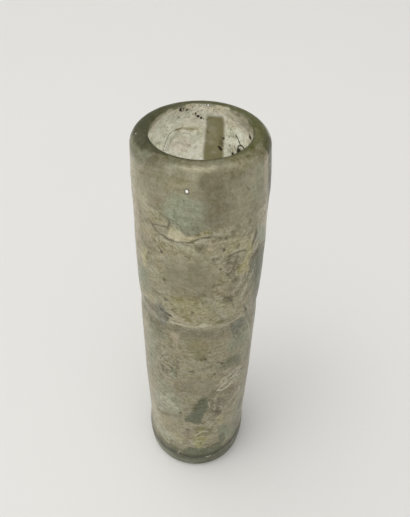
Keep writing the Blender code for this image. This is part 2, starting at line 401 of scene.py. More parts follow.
# All weathering is placed as degrees round from the front and millimetres up, with the
# right side positive. Inside, the degrees go round from the back.
outside = {
    "gain": 1.125,         # from a tone to the film's own colour
    "reach": 0.85,         # how far from a line or a spot it is still known
    "upright": 1.3,        # how much taller than wide the spots are
    "warmth": (1.02, 1.0, 0.94),
    "contrast": 1.3,       # how far the patches stand off from the plain bands
    "tinting": 0.8,        # and the same for their hue
    "bands": [             # (height, tone, lightness)
        (0.0, "dusk", 1.0), (8.0, "dusk", 1.0), (14.0, "greige", 0.98), (30.0, "beige", 0.99),
        (45.0, "greige", 1.0), (70.0, "greige", 1.06), (84.0, "greige", 1.02), (89.0, "greige", 0.84),
        (94.0, "greige", 1.2), (112.0, "greige", 1.14), (124.0, "beige", 1.06),
        (132.0, "greige", 0.98), (143.0, "greige", 0.93), (150.0, "greige", 0.91),
    ],
    "tongueEdge": [        # where the smooth upper zone ends
        (-110, 134.5), (-80, 137), (-60, 135.6), (-48, 135.5), (-41, 135.8), (-34, 135.3),
        (-29, 134.8), (-26, 134.4), (-21, 134), (-17, 133.3), (-14.5, 132.1), (-12.5, 130.8),
        (-9.3, 130.2), (-6, 130.3), (-3.6, 130.6), (0.8, 131.9), (4.2, 132.7), (9, 132), (19, 132.4),
        (28.4, 132.1), (45, 134), (70, 131), (95, 135.5), (130, 133), (165, 137), (205, 131.5),
        (230, 134),
    ],
    "paintedBaseLine": [          # painted shade: the dark line where the inner floor's edge shows through the thick base
        (-110, 10.6), (-66, 10.6), (-52, 9.8), (-36, 9.4), (-19, 9.8), (-3, 9.3), (13, 9.5),
        (31, 10.5), (50, 11.6), (63, 12.6), (110, 11.5), (160, 10.6), (210, 11.2),
    ],
    "lip": {               # where the bare dark glass over the lip starts and ends
        "darkFrom": [
            (-180, -0.8), (-150, -1.0), (-120, -1.6), (-100, -2.4), (-75, -2.6), (75, -2.6),
            (100, -2.4), (120, -1.5), (150, -0.9),
        ],
        "darkTo": [
            (-180, 1.6), (-165, 2.0), (-150, 3.2), (-120, 5.2), (-100, 5.5), (-80, 5.2), (-60, 3.6),
            (-45, 1.8), (-30, 0.5), (30, 0.5), (45, 0.9), (60, 1.8), (75, 3.2), (95, 4.4), (120, 3.6),
            (150, 2.0),
        ],
        "veilTo": [
            (-180, 2.4), (-150, 3), (-120, 7), (-95, 8.5), (-75, 8), (-55, 7.6), (-40, 6.4),
            (-25, 3.4), (0, 2.6), (30, 2.8), (50, 4.2), (70, 6.4), (95, 8), (120, 6), (150, 3),
        ],
    },
    # (degrees, height, half width, half height, how rough the coat is there)
    "calm": [
        (-18, 129.8, 3.0, 1.6, 0.5), (-10, 115, 8.0, 8.0, 0.55), (0, 61, 6.0, 5.0, 0.6),
        (-8, 86, 6.0, 4.0, 0.7), (12, 84, 5.0, 4.0, 0.7), (27, 118, 3.6, 5.0, 1.5),
        (34, 56, 5.0, 7.0, 1.5), (-30, 69, 4.6, 6.0, 1.5), (24, 45, 5.0, 7.0, 1.4),
        (15, 106, 6.0, 5.0, 1.25), (-15, 125, 7.0, 2.2, 1.3), (-30, 94, 3.0, 5.0, 1.4),
        (10, 130, 6.0, 3.0, 1.3),
    ],
    # (degrees, height, half width, half height, tone, strength)
    "softPatches": [
        (-66, 138, 7.0, 9.0, "pale", 0.5), (-54, 143, 3.6, 4.0, "greige", 0.8),
        (-39, 148, 3.2, 2.0, "olive", 0.8), (-40, 150.6, 1.4, 2.0, "olive", 1.0),
        (-58, 149.4, 6.0, 3.0, "green", 0.9), (-17, 146.5, 3.0, 2.0, "straw", 0.3),
        # the bone patch at (-2, 151) is a painted highlight, the pale arc along the front of the
        # lip's shoulder
        (-2, 151, 5.4, 0.9, "bone", 0.55), (-34, 142, 6.0, 5.0, "brown", 0.45),
        (9, 146.2, 3.8, 2.4, "olive", 1.0), (9.6, 146, 2.8, 1.8, "olive", 0.8),
        (0, 143.4, 3.0, 0.9, "rust", 0.7), (12, 140.5, 4.6, 5.4, "umber", 0.6),
        (15, 136, 4.6, 4.0, "brown", 0.5), (-4, 139.6, 4.0, 2.0, "brown", 0.4),
        (24, 146, 6.0, 2.8, "brown", 0.6), (54, 141, 4.0, 5.6, "green", 0.5),
        (38, 140, 3.0, 5.0, "greige", 0.6), (70, 128, 3.0, 5.0, "pink", 1.0),
        (62, 131, 3.0, 2.6, "pink", 0.7), (-36, 124, 3.6, 1.8, "beige", 0.7),
        (-54, 125.5, 3.4, 1.8, "straw", 0.7), (-66, 126, 2.6, 9.0, "pink", 0.9),
        (-50, 122, 3.0, 2.4, "brown", 0.5), (-15, 124.6, 7.0, 2.4, "straw", 0.8),
        (43, 124, 3.0, 2.8, "sand", 0.8), (66, 122, 4.0, 4.0, "haze", 0.8),
        (-10, 114, 7.0, 9.0, "brown", 0.6), (-8, 102, 4.4, 4.4, "ochre", 0.9),
        (10, 101, 3.4, 3.0, "beige", 0.5), (-60, 104, 4.6, 6.0, "green", 0.8),
        (68, 110, 3.6, 6.0, "slate", 0.8), (57, 110, 2.6, 6.0, "green", 0.8),
        (30, 107, 3.0, 3.0, "brown", 0.4), (66, 96, 2.6, 5.0, "dusk", 0.7),
        (57, 98, 3.0, 4.0, "brown", 0.4), (1, 82, 4.0, 4.0, "ochre", 1.0),
        (-22, 86, 1.6, 2.2, "pink", 0.8), (-46, 85, 4.0, 4.4, "moss", 0.5),
        (-50, 95, 4.6, 1.8, "umber", 0.8), (-50, 99, 3.0, 1.8, "straw", 0.8),
        (-60, 80, 2.6, 5.0, "pink", 0.6), (-50, 74, 2.6, 7.0, "green", 0.6),
        (45, 80, 5.0, 3.6, "green", 0.9), (0, 61, 6.0, 5.6, "brown", 0.4),
        (30, 58, 4.0, 3.4, "beige", 0.7), (46, 62, 2.6, 3.0, "straw", 0.7),
        (-36, 66, 1.6, 3.2, "umber", 0.6), (-25, 66, 1.5, 3.4, "sea", 0.7),
        (65, 67, 2.6, 5.0, "olive", 0.6), (-20, 59, 0.9, 2.6, "ochre", 0.9),
        (-48, 42, 3.0, 6.0, "green", 0.8), (-56, 72, 3.0, 12.0, "sea", 0.5),
        (46, 84, 4.6, 5.0, "sea", 0.5), (56, 30, 3.0, 8.0, "green", 0.6),
        (-14, 58, 5.0, 3.0, "brown", 0.4), (-40, 55, 4.0, 2.6, "sea", 0.6),
        (-6, 47, 3.6, 4.0, "brown", 0.4), (-58, 45, 3.0, 9.0, "pink", 0.5),
        (40, 50, 3.0, 4.0, "rust", 0.4), (-24, 22, 2.6, 4.0, "straw", 0.7),
        (-40, 19.5, 6.0, 2.6, "haze", 0.5), (-38, 29, 3.6, 4.0, "straw", 0.5),
        (0, 36.8, 1.2, 1.8, "umber", 0.9), (31, 25.5, 1.2, 4.0, "moss", 0.9),
        (58, 20, 4.6, 6.0, "dusk", 0.5), (62, 34, 2.0, 5.0, "slate", 0.8),
        (-60, 26, 3.6, 10.0, "pale", 0.5), (28, 14, 2.6, 2.6, "olive", 0.5),
        (-4, 89.8, 9.0, 1.9, "olive", 0.55), (-4, 95.6, 6.0, 1.1, "straw", 0.7),
        # the bone patch at (6, 93.8) is a painted highlight, the brightest spot on the ridge over the
        # waist
        (6, 93.8, 1.7, 0.8, "bone", 0.9), (32, 70, 5.0, 2.4, "moss", 0.5),
        (-2, 5.4, 5.0, 2.4, "slab", 0.4), (-48, 4.6, 9.0, 2.6, "slab", 0.9),
        (14, 3.0, 4.0, 1.6, "ink", 0.9), (34, 4.6, 5.0, 3.0, "ink", 0.7),
        (62, 8, 4.0, 4.0, "dusk", 0.8), (-44, 146, 5.0, 3.0, "brown", 0.5),
        (25, 147.4, 8.0, 2.8, "umber", 0.5), (11, 148.2, 3.0, 1.4, "umber", 0.5),
        (-23, 147.8, 5.0, 1.6, "umber", 0.5), (-42.2, 149, 1.4, 2.0, "umber", 0.8),
        (-16, 126, 6.0, 2.4, "haze", 0.5), (-17, 121.8, 6.0, 3.0, "beige", 0.8),
        (-20, 119.6, 4.0, 2.4, "haze", 0.4), (12, 114, 5.0, 3.4, "beige", 0.4),
        (30, 134, 4.0, 2.4, "beige", 0.3), (52, 103, 3.0, 4.0, "brown", 0.3),
        (-8, 101.6, 5.0, 3.6, "yellow", 0.5), (-24, 112, 4.0, 2.6, "beige", 0.5),
        (2, 24, 4.6, 3.6, "yellow", 0.5), (-38, 12.6, 9.0, 1.4, "moss", 0.5),
        (-50, 18, 7.0, 3.0, "haze", 0.5), (52, 20, 5.0, 6.0, "green", 0.5),
        (20, 120.6, 5.0, 1.6, "beige", 0.5), (46, 62.5, 2.0, 4.0, "brown", 0.6),
    ],
    "crispPatches": [
        (24, 128.3, 1.6, 0.7, "umber", 0.8), (33.3, 124.2, 0.5, 1.1, "umber", 0.7),
        (31.4, 111.4, 1.3, 1.1, "umber", 0.7), (20, 94.8, 1.5, 0.9, "ochre", 1.0),
        (-39.5, 100.5, 0.8, 2.4, "sea", 0.8), (9.5, 25.6, 0.9, 1.3, "umber", 0.9),
        (5, 29.6, 1.5, 3.0, "yellow", 0.9), (8, 22.8, 2.8, 1.6, "yellow", 0.5),
        (-19, 18, 1.0, 1.4, "pale", 0.4), (-36, 131.9, 2.4, 1.2, "straw", 0.5),
    ],
    # closed outlines: (tone, strength, softness, points)
    "shapes": [
        ("sea", 1.0, 1.6, [(-29, 137), (-26, 140.2), (-18, 142.2), (-10, 142), (-3, 142), (1, 140.6),
            (2.4, 136.5), (3, 132.4), (0.8, 131), (-3.6, 129.6), (-9.3, 129.3), (-12.5, 129.9),
            (-14.5, 131), (-17, 132), (-21, 133), (-27, 134)]),
        ("slab", 0.35, 0.6, [(-13, 132), (-8, 134), (-1, 134.5), (0.6, 133), (-2.5, 131), (-6, 130.4),
            (-10, 130.8)]),
        ("bone", 1.0, 0.25, [(-24, 131.4), (-21.2, 132), (-17.8, 131.8), (-14.5, 131), (-11.9, 129.9),
            (-5, 129.7), (-5, 128.4), (-12, 127.8), (-18.7, 127.5), (-22.9, 127.6), (-25.7, 128.4),
            (-25.5, 130)]),
        ("straw", 0.8, 0.3, [(-6, 130.3), (-1, 131), (2, 132.2), (6, 132), (9, 130.8), (4, 129.9),
            (0, 129.3), (-5, 128.6)]),
        ("beige", 0.8, 0.4, [(-50, 133), (-48, 135.2), (-43, 136), (-37, 135.8), (-30, 134.8),
            (-26, 133.4), (-25.4, 131.4), (-29, 130.6), (-35, 130.8), (-40, 130.4), (-46, 131.5)]),
        ("beige", 0.9, 0.3, [(9, 130.8), (14, 132.2), (20, 132.3), (28, 131.8), (27, 129.6),
            (20, 129.2), (13, 129.8)]),
        ("straw", 0.8, 0.4, [(22.6, 128.5), (32.3, 128), (36, 125), (37, 123), (31.8, 122.6),
            (25.7, 122.4), (21.3, 122.5), (21, 125)]),
        ("olive", 0.7, 0.5, [(-4, 126.4), (1, 127.2), (4.5, 126.6), (4.6, 124.6), (-0.9, 124)]),
        ("haze", 0.9, 0.5, [(54.9, 126.9), (62, 126), (74.7, 122.4), (84, 119), (80.3, 116.4),
            (65, 118), (57, 118), (52.8, 119.6), (52.4, 122.3), (54.5, 124.5)]),
        ("moss", 0.7, 0.8, [(51.9, 117), (60, 117.4), (74.5, 114.7), (84, 110), (82, 102), (72, 99),
            (60, 101.6), (53, 107), (48.6, 110.7), (46.4, 114.4)]),
        ("pink", 0.5, 0.5, [(56, 132.6), (67.3, 130), (74, 123.6), (66, 124.6), (59, 127.4)]),
        ("olive", 0.6, 0.5, [(18, 104.4), (21, 105.3), (28.5, 105), (30.4, 102.7), (23.7, 102.6)]),
        ("pale", 0.6, 0.3, [(31.9, 116.4), (33.4, 115), (34, 113.2), (31.5, 113.2), (30.6, 115.7)]),
        ("brown", 0.7, 0.4, [(20, 121.4), (26, 121.4), (33, 121.2), (35.5, 118.6), (33, 116),
            (31.5, 113), (27, 112.6), (22, 114.4), (20, 118)]),
        ("yellow", 1.0, 0.25, [(44.7, 124), (48.4, 122.6), (50.9, 121.1), (50.1, 119.4),
            (46.5, 118.3), (44.6, 117.2), (45.6, 115.3), (47.2, 113.6), (45.5, 112), (39, 112),
            (33.6, 113), (33.4, 116.2), (37.6, 117.3), (41, 118.9), (44, 120.4), (42, 122.4)]),
        ("olive", 0.9, 0.3, [(46.4, 113.4), (48.6, 115.8), (52, 117.4), (55, 118.4), (57, 117.4),
            (53, 115.6), (49.6, 113.6), (47, 112.4)]),
        ("umber", 0.8, 0.35, [(52, 126.6), (55.6, 126.2), (55, 124.2), (51.4, 122.4), (49.4, 120.8),
            (48, 121.6), (50, 124)]),
        ("yellow", 0.9, 0.35, [(-60, 116), (-56, 117.6), (-51.6, 119.4), (-49.6, 117.6),
            (-52.6, 114.8), (-51.6, 112.2), (-55, 111.2), (-58.6, 112.8)]),
        ("slate", 0.9, 0.5, [(-43.3, 97.5), (-38, 99), (-33.6, 99.4), (-29.6, 97.2), (-25.4, 96),
            (-28.4, 93.4), (-30.6, 91.4), (-33, 89), (-37, 88.6), (-43, 92)]),
        ("slate", 0.9, 0.5, [(32, 91.4), (38, 92.5), (45, 92), (49, 89), (46, 86.4), (42, 84.6),
            (36, 85.2), (33, 88)]),
        ("moss", 0.4, 0.5, [(24, 73), (33, 73.2), (45, 72.6), (48, 69), (49, 65.4), (44, 66.6),
            (36, 70), (28, 71)]),
        ("moss", 1.0, 0.55, [(1.4, 53), (6, 53.6), (10, 53), (12, 49.6), (11.6, 45), (8, 41.6),
            (6.4, 38), (5, 35.4), (0, 35), (-6.4, 36), (-13.6, 36.4), (-11, 40), (-6.6, 43),
            (-3.8, 46), (-1, 49.6)]),
        ("moss", 0.4, 0.6, [(8, 54), (14, 56), (22, 57), (26, 55.4), (20, 53.6), (13, 51.4)]),
        ("mist", 0.75, 0.9, [(-52, 46.8), (-42, 50.6), (-29, 53.4), (-17, 52), (-14.6, 48), (-20, 41),
            (-30, 38.4), (-40, 37), (-52, 36), (-58, 39)]),
        ("haze", 0.8, 0.5, [(-44, 48.6), (-34, 48.6), (-22, 46), (-20, 43.4), (-27, 41.4),
            (-35, 41.6), (-43, 44)]),
        ("olive", 0.45, 1.1, [(-55, 34.6), (-46, 34.8), (-36, 37.4), (-25, 39.6), (-19, 39),
            (-22, 37), (-32, 35.6), (-44, 32.8), (-54, 32.4)]),
        ("brown", 0.7, 0.4, [(13, 50), (19, 51), (27, 50), (31, 46), (30, 41), (25, 38.6), (19, 39),
            (15, 43)]),
        ("umber", 0.9, 0.25, [(19, 42.4), (22, 43), (25, 42.4), (28, 41), (27.4, 39.2), (24, 39.4),
            (21, 40.6)]),
        ("straw", 1.0, 0.3, [(23, 37), (28, 38), (32.6, 34.6), (33, 31), (30, 29.8), (25.6, 32.4)]),
        ("rust", 0.45, 0.7, [(-15, 28), (-10, 30.4), (-5.4, 30.2), (-2.6, 26.6), (-5.4, 22.6),
            (-12.4, 22.6), (-15.4, 25)]),
        ("ochre", 0.9, 0.5, [(-2, 30), (0, 32.6), (4, 33), (12, 32), (20, 30), (18, 27), (14, 25),
            (6, 23.6), (0, 25)]),
        ("lime", 0.5, 0.4, [(1.6, 30.6), (5, 31.4), (8.4, 30.6), (9.4, 27), (9, 24), (4, 24),
            (3, 27)]),
        ("lime", 1.0, 0.3, [(-3, 21), (0, 23.6), (4.6, 25), (10, 23), (10.6, 20), (9, 17.4),
            (4, 16.4), (-1, 16.6), (-3.6, 18.6)]),
        ("moss", 0.9, 0.5, [(-17, 13.4), (-6, 16), (8, 15.4), (20, 16), (29, 16.4), (33, 12),
            (22, 10), (4, 9.6), (-11, 9.8)]),
        ("green", 0.9, 0.5, [(27.6, 30.6), (34, 28.6), (41, 25), (46, 16.4), (40, 13.6), (34, 15),
            (28, 20), (26.4, 25)]),
        ("moss", 0.6, 0.4, [(28, 22), (34, 22.6), (38, 18.6), (36, 14.6), (30, 15.6)]),
        ("umber", 0.7, 0.2, [(4.8, 20.4), (6, 20.4), (6.8, 18.6), (5.4, 17.6), (4.6, 18.8)]),
        ("pink", 0.8, 0.4, [(60, 147.5), (67, 148), (67, 143), (68, 137), (71, 131), (68, 129),
            (64, 133), (60, 140)]),
        # painted shade: the dark edge that the glass shows along the right silhouette
        ("ink", 1.0, 0.3, [(69, 151.5), (68.4, 147), (68.4, 142), (69.6, 137), (73, 132), (77, 127),
            (93, 127), (93, 151)]),
    ],
    # thin lines: (half width, strength, points)
    "darkLines": [
        (0.26, 0.6, [(-56, 132), (-50.7, 130.8), (-46.6, 130.1), (-41.8, 129.8)]),
        (0.36, 0.75, [(-42, 129.8), (-38.4, 128.8), (-35, 128.1), (-30.3, 127.8)]),
        (0.50, 0.85, [(-30, 127.8), (-27.4, 127.3), (-25, 127.1)]),
        (0.30, 0.8, [(-25, 127.2), (-22.9, 127.2), (-17.4, 127), (-12, 127.3), (-6.8, 127.8),
            (-2.3, 128.9), (0.9, 129.5)]),
        (0.42, 0.8, [(0.9, 129.5), (5.3, 129.5), (8.5, 129.6)]),
        (0.24, 0.6, [(8.5, 129.8), (11.7, 129.6), (16.4, 129), (20.5, 128.7), (27, 128)]),
        (0.30, 0.8, [(-41.8, 129.8), (-37.6, 130.5), (-33, 130.9), (-29.1, 131.1), (-25.8, 131.4)]),
        (0.30, 0.8, [(-25.8, 131.4), (-24.8, 132.4), (-24, 133.2), (-26, 134.2)]),
        (0.24, 0.6, [(-26, 134.2), (-29.6, 134.8), (-32.6, 135.4), (-38, 136.1), (-46, 136)]),
        (0.22, 0.6, [(-26, 134.5), (-21, 134), (-17, 133.3), (-14.5, 132.1), (-12.5, 130.8),
            (-9.3, 130.2), (-3.6, 130.6), (0.8, 131.9), (4.2, 132.7)]),
        (0.36, 0.5, [(27, 129.3), (28.4, 129.9), (29.6, 130.6)]),
        (0.30, 0.8, [(32.6, 123.8), (33.2, 124.4), (34, 124.8)]),
        (0.30, 0.6, [(42, 133.4), (46, 134), (50, 134.9)]),
        (0.30, 0.7, [(-53, 143.8), (-51, 144.2), (-48.6, 144.7)]),
        (0.30, 0.7, [(38, 142.7), (41, 141.6)]),
        (0.30, 0.8, [(23.6, 121.7), (27.3, 121.7), (31.9, 121.9), (36, 121.8), (40.6, 121.3)]),
        (0.40, 0.7, [(53.9, 126.2), (52.2, 124.2), (49.2, 122.6), (48.5, 121)]),
        (0.44, 0.8, [(57, 117.8), (52, 117.1), (47.4, 116.4), (45.8, 114.6)]),
        (0.30, 0.8, [(32.5, 104.9), (40.6, 107.2), (44.8, 109.6), (47.4, 112.2)]),
        (0.34, 0.8, [(43.7, 101.7), (52, 104.2), (57.7, 106), (65.4, 107.1)]),
        (0.30, 1.0, [(-51.4, 88.3), (-51.4, 87.3), (-51.3, 86.3)]),
        (0.34, 1.0, [(-32.7, 95.7), (-30, 95.9), (-27.8, 95.9), (-24.6, 95.8)]),
        (0.30, 0.35, [(-61, 96.2), (-54, 97), (-48.9, 97.1), (-42, 96.6)]),
        (0.30, 0.7, [(50, 107.5), (47, 104.5), (43.5, 102), (42, 100.4)]),
        (0.36, 0.8, [(57, 118.8), (64, 117.8), (72, 116.8), (80, 116.4)]),
        (0.26, 0.7, [(10.5, 110.8), (14, 111.8), (18, 111.2)]),
        (0.26, 0.6, [(-2, 107.8), (2, 108.1), (6, 107.3)]),
        (0.26, 0.5, [(24.6, 119.1), (26.9, 118.5), (28.4, 118.7), (30.8, 118.5)]),
        (0.24, 0.4, [(27.4, 117.6), (29, 117), (30, 116)]),
        (0.24, 0.4, [(22.4, 116.8), (23.2, 115.4), (25, 114.8)]),
        (0.26, 0.6, [(10.6, 121.6), (12.6, 120.8), (11.4, 119.8)]),
        (0.26, 0.5, [(38, 112), (39.5, 109), (37.5, 106.5), (34.5, 104.6)]),
        (0.36, 0.8, [(23.6, 105.7), (26.4, 104.4), (30, 102.4)]),
        (0.26, 0.6, [(16, 98.4), (20, 96.6), (25, 95.2), (29, 94.2)]),
        (0.60, 0.6, [(42.4, 98.8), (46, 96), (49, 93.2), (52, 90.6)]),
        (0.25, 0.6, [(52, 93), (56, 89), (60, 84), (64, 79)]),
        (0.26, 0.6, [(31.6, 92.2), (32.6, 89.6), (34.4, 86.4), (37.4, 83.4)]),
        (0.24, 0.5, [(59, 128), (58.5, 121), (57.5, 113), (58, 106)]),
        (0.24, 0.5, [(66, 115), (64.5, 109), (66, 101), (70, 95)]),
        (0.30, 0.7, [(-40.4, 70.4), (-37, 73), (-33.4, 74.4), (-28, 75.4), (-25, 75.2)]),
        (0.26, 0.6, [(-22, 74.4), (-20, 71.6), (-20.4, 68.8), (-24, 66)]),
        (0.30, 0.7, [(-38.4, 68), (-37.6, 65.6), (-33, 64.2), (-29, 65), (-26.4, 67.4),
            (-25.4, 69.4)]),
        (0.26, 0.7, [(-35, 70.6), (-31.8, 71.8), (-27, 71.8), (-25.6, 70.4)]),
        (0.24, 0.5, [(-43.6, 66), (-43, 63), (-40, 61), (-33, 60.4), (-26, 61.4)]),
        (0.26, 0.6, [(-22, 75.6), (-19.6, 74.6), (-18, 72.6)]),
        (0.22, 0.5, [(-22.6, 72), (-21, 68), (-22, 64)]),
        (0.36, 0.9, [(-9.6, 69.2), (-6.6, 69.2), (-3.6, 69.9)]),
        (0.36, 0.8, [(19.6, 73.6), (23, 72.8), (25.8, 71.2)]),
        (0.30, 0.6, [(22, 67), (25, 65.4), (28, 64.4)]),
        (0.36, 0.8, [(52.4, 61.6), (53.6, 60.4), (55, 59)]),
        (0.28, 0.5, [(36, 66.6), (40, 65), (43, 63)]),
        (0.28, 0.7, [(27, 55), (31, 54.2), (34.6, 55)]),
        (0.30, 0.8, [(12.6, 52), (17.4, 49.4), (15.2, 46), (17, 43.6), (21, 42.2)]),
        (0.26, 0.7, [(22.6, 51.6), (25, 47.6), (21.8, 44.8), (24.6, 41.6), (26.6, 38.6)]),
        (0.26, 0.7, [(14.6, 38.8), (18, 39.4), (22.4, 39.8), (30, 42.8), (35.6, 46.8)]),
        (0.26, 0.7, [(7.6, 34.6), (11, 36.4), (14.8, 37.4), (18, 36)]),
        (0.24, 0.6, [(28, 50), (32, 46.6), (34, 43)]),
        (0.24, 0.6, [(19, 36.6), (24, 35), (29, 35.4)]),
        (0.24, 0.4, [(-44, 63), (-41, 60), (-36, 58.4)]),
        (0.36, 0.8, [(-13, 30.2), (-10, 29.8), (-8, 30.4)]),
        (0.30, 0.6, [(-17.6, 43), (-18, 41), (-19, 40)]),
        (0.30, 0.5, [(20.6, 37), (21, 33.6), (24, 32), (28, 30.6)]),
        (0.30, 0.8, [(22, 55.2), (27, 54.5), (31, 54.8)]),
        (0.30, 0.8, [(33, 61.4), (38, 61.4), (44, 62.4)]),
        (0.28, 0.7, [(36, 59.4), (41, 58.9), (47, 57.9)]),
    ],
    "paleLines": [
        # painted highlights: the next two lines are the bright line along the ridge over the waist
        (0.55, 0.7, [(-26, 92.8), (-18, 93.2), (-11, 93), (-5, 93.1), (2, 93.4), (7, 93.7),
            (12, 93.9)]),
        (0.45, 0.7, [(14, 92.5), (20, 92.3), (26, 92.4), (33, 92.9), (41, 93.5), (47, 93.2)]),
        (0.45, 0.35, [(-66, 95), (-58, 96.8), (-52, 97.9), (-46, 98.4)]),
        (0.30, 0.9, [(50, 63.4), (47, 64), (44, 62.4), (40, 61.4)]),
        (0.36, 1.0, [(52, 62.4), (42, 61), (36, 60), (31.4, 59), (26, 57.8), (22, 56.8)]),
        (0.34, 1.0, [(56, 59.2), (45, 57.8), (38, 56.8), (34, 56.2), (28, 55.2), (24, 54.6)]),
        (0.30, 0.9, [(47, 60.6), (43, 59.6), (38, 58), (34, 56)]),
        (0.26, 0.9, [(27, 58.6), (30.6, 60.2), (34.6, 61.6), (38.4, 63)]),
        (0.30, 0.9, [(36, 57.4), (32.6, 55.6), (30, 55)]),
        (0.28, 0.8, [(24, 60.4), (26.6, 62.4), (29.6, 63.2), (30, 61)]),
        (0.24, 0.7, [(31, 65.4), (34, 66.6), (38, 66)]),
        # painted highlight: a small glint
        (0.28, 0.8, [(55.6, 86.4), (57, 84.8), (59, 82.6)]),
        (0.24, 0.7, [(50, 96), (52.6, 93.4), (56, 90)]),
        (0.24, 0.6, [(59, 82), (64, 76), (69, 71), (73, 67)]),
        (0.24, 0.5, [(20, 59.6), (25, 60), (29, 60.2)]),
        (0.26, 0.6, [(54, 49), (52, 47), (49, 46.4)]),
        (0.26, 0.6, [(12, 50), (13.6, 47.4), (16.4, 44.6)]),
        (0.22, 0.4, [(18, 120.8), (18.8, 121.6), (20.7, 121.6), (22.8, 120.9)]),
        (0.22, 0.5, [(22.5, 119.7), (20.5, 119.4), (19, 119.9)]),
        (0.26, 0.6, [(20.9, 117.5), (21.4, 116.4), (23.8, 115.7), (26.6, 116.2)]),
        (0.24, 0.4, [(22.6, 118.2), (24.9, 118), (27.6, 117.5)]),
        (0.28, 0.6, [(21.3, 122.4), (25.7, 122.5), (31.8, 122.8), (36.7, 123), (40.3, 122.6)]),
        (0.28, 0.6, [(23.7, 126.2), (27.2, 127.1), (31, 126.9)]),
        (0.28, 0.6, [(-3, 127.6), (0.9, 128.5), (5.3, 128.7)]),
        (0.34, 0.8, [(51.6, 121.4), (50.8, 120), (51.6, 119), (55, 118.9)]),
        (0.30, 0.7, [(36.8, 112.6), (37.7, 110.3), (37.2, 108.7)]),
        (0.30, 0.7, [(43.5, 111.8), (44.9, 108.7), (43.8, 107)]),
        (0.30, 0.6, [(51.7, 110.4), (55.8, 106.4), (55.5, 104)]),
        (0.34, 0.8, [(29.5, 106.6), (35.8, 108.8), (39.6, 111.3), (40.5, 113.8)]),
        (0.32, 0.8, [(38.6, 103), (44.2, 105.7), (49.5, 108.3), (52.5, 110.9)]),
        (0.34, 0.7, [(-60.9, 96.8), (-56.6, 97.2), (-52.4, 98)]),
        (0.26, 0.5, [(-52, 111.6), (-57, 113.4), (-60, 116)]),
        (0.30, 0.7, [(68, 132.4), (69.4, 131), (70.6, 129.4)]),
        # painted highlights: the next two lines are glints on the thick base
        (0.26, 0.6, [(-22, 9.4), (-20.8, 10.6), (-19.6, 11.8)]),
        (0.40, 0.8, [(13, 8.7), (15, 8.1), (18, 8.8)]),
        (0.26, 0.6, [(-8, 22), (-5.6, 20.4), (-4, 18)]),
        (0.34, 0.5, [(-46.6, 48.4), (-40, 47.6), (-34, 47.4), (-24, 47)]),
        (0.34, 0.5, [(-44.6, 44.6), (-38, 43.4), (-32.6, 43), (-22.4, 44)]),
        (0.34, 0.4, [(-52, 43), (-46, 41.4), (-40, 40.8), (-33, 40.4)]),
        (0.34, 0.6, [(-66, 18.6), (-58, 17), (-51, 15.8), (-42, 14.6), (-34, 14)]),
        (0.34, 0.6, [(-58, 25.4), (-50, 24), (-43.6, 23), (-35, 21.2), (-26.6, 19.8)]),
        (0.30, 0.5, [(-68, 13.6), (-60, 13), (-52, 12.6)]),
        (0.30, 0.8, [(27, 62), (31, 62.4), (35, 63.2), (43.6, 64.6)]),
        (0.30, 0.9, [(37.4, 44), (41, 45.4), (45.4, 46.8), (53, 49.4)]),
        (0.28, 0.8, [(42.6, 38.6), (46, 40), (50, 41.6), (59, 43.2)]),
        (0.24, 0.7, [(18, 47.6), (20, 45.6), (19, 43.6)]),
        (0.24, 0.7, [(23, 46), (27, 44.4), (29.6, 41.8)]),
        (0.26, 0.6, [(10, 36.8), (13, 35), (17, 33.6)]),
        (0.50, 1.1, [(21.2, 56.6), (25, 55.8), (29.6, 55.8)]),
        (0.50, 1.2, [(31, 56), (34.6, 56.6), (38.1, 57.5)]),
        (0.46, 1.2, [(33.4, 62.4), (37, 62.6), (41.4, 63.6)]),
        (0.50, 1.2, [(44, 63.6), (48, 63.2), (52, 62.3)]),
        (0.46, 1.1, [(36, 60.4), (41, 60), (47.4, 59)]),
        (0.40, 1.0, [(24, 58.6), (28, 58.8), (32.4, 59.2)]),
        (0.40, 0.8, [(-3.4, 18.4), (-1, 20), (2, 21.4), (6, 21)]),
        (0.40, 0.8, [(-1, 26), (3, 27.6), (8, 28.8), (13, 28.4)]),
        (0.34, 0.7, [(3, 24), (6, 25), (10, 24.4)]),
        (0.34, 0.6, [(14, 31), (18, 33.6), (24, 35.4)]),
    ],
    # small dark spots: (degrees, height, radius, strength)
    "specks": [
        (45.7, 141.8, 0.3, 0.5), (55, 140, 0.5, 0.5), (-12, 140.8, 0.45, 0.6),
        (-32.9, 121.6, 0.5, 1.0), (-47.9, 118.2, 0.5, 0.8), (-36.4, 123, 0.6, 0.4),
        (-59.7, 128.2, 0.4, 0.6), (19.6, 124.3, 0.5, 0.9), (14.4, 121.7, 0.4, 0.7),
        (-30.7, 111.2, 0.6, 0.8), (-30, 102.9, 0.8, 0.8), (17.2, 117.5, 0.5, 0.8),
        (10.8, 121.5, 0.45, 0.6), (23.4, 119.4, 0.4, 0.6), (48, 95, 0.6, 0.9), (-5.6, 99.9, 0.6, 0.8),
        (-47.4, 107, 0.5, 0.5), (31, 100.7, 0.4, 0.6), (-35.5, 97, 0.65, 1.0),
        (-30.5, 92.8, 0.55, 0.8), (-26.5, 96, 0.6, 0.8), (7.4, 76.3, 0.6, 0.8),
        (17.6, 66.7, 0.5, 0.9), (5, 70.4, 0.5, 0.6), (24.6, 71.6, 0.5, 0.9), (-27.4, 68.6, 0.6, 0.8),
        (-55, 67.6, 0.6, 0.8), (-42, 60.4, 0.5, 0.6), (26, 34.6, 0.5, 0.5), (56, 117, 0.6, 0.6),
        (1, 99, 0.4, 0.6), (-11, 29.8, 0.5, 0.8), (-18, 41.6, 0.5, 0.7), (40, 28, 0.4, 0.5),
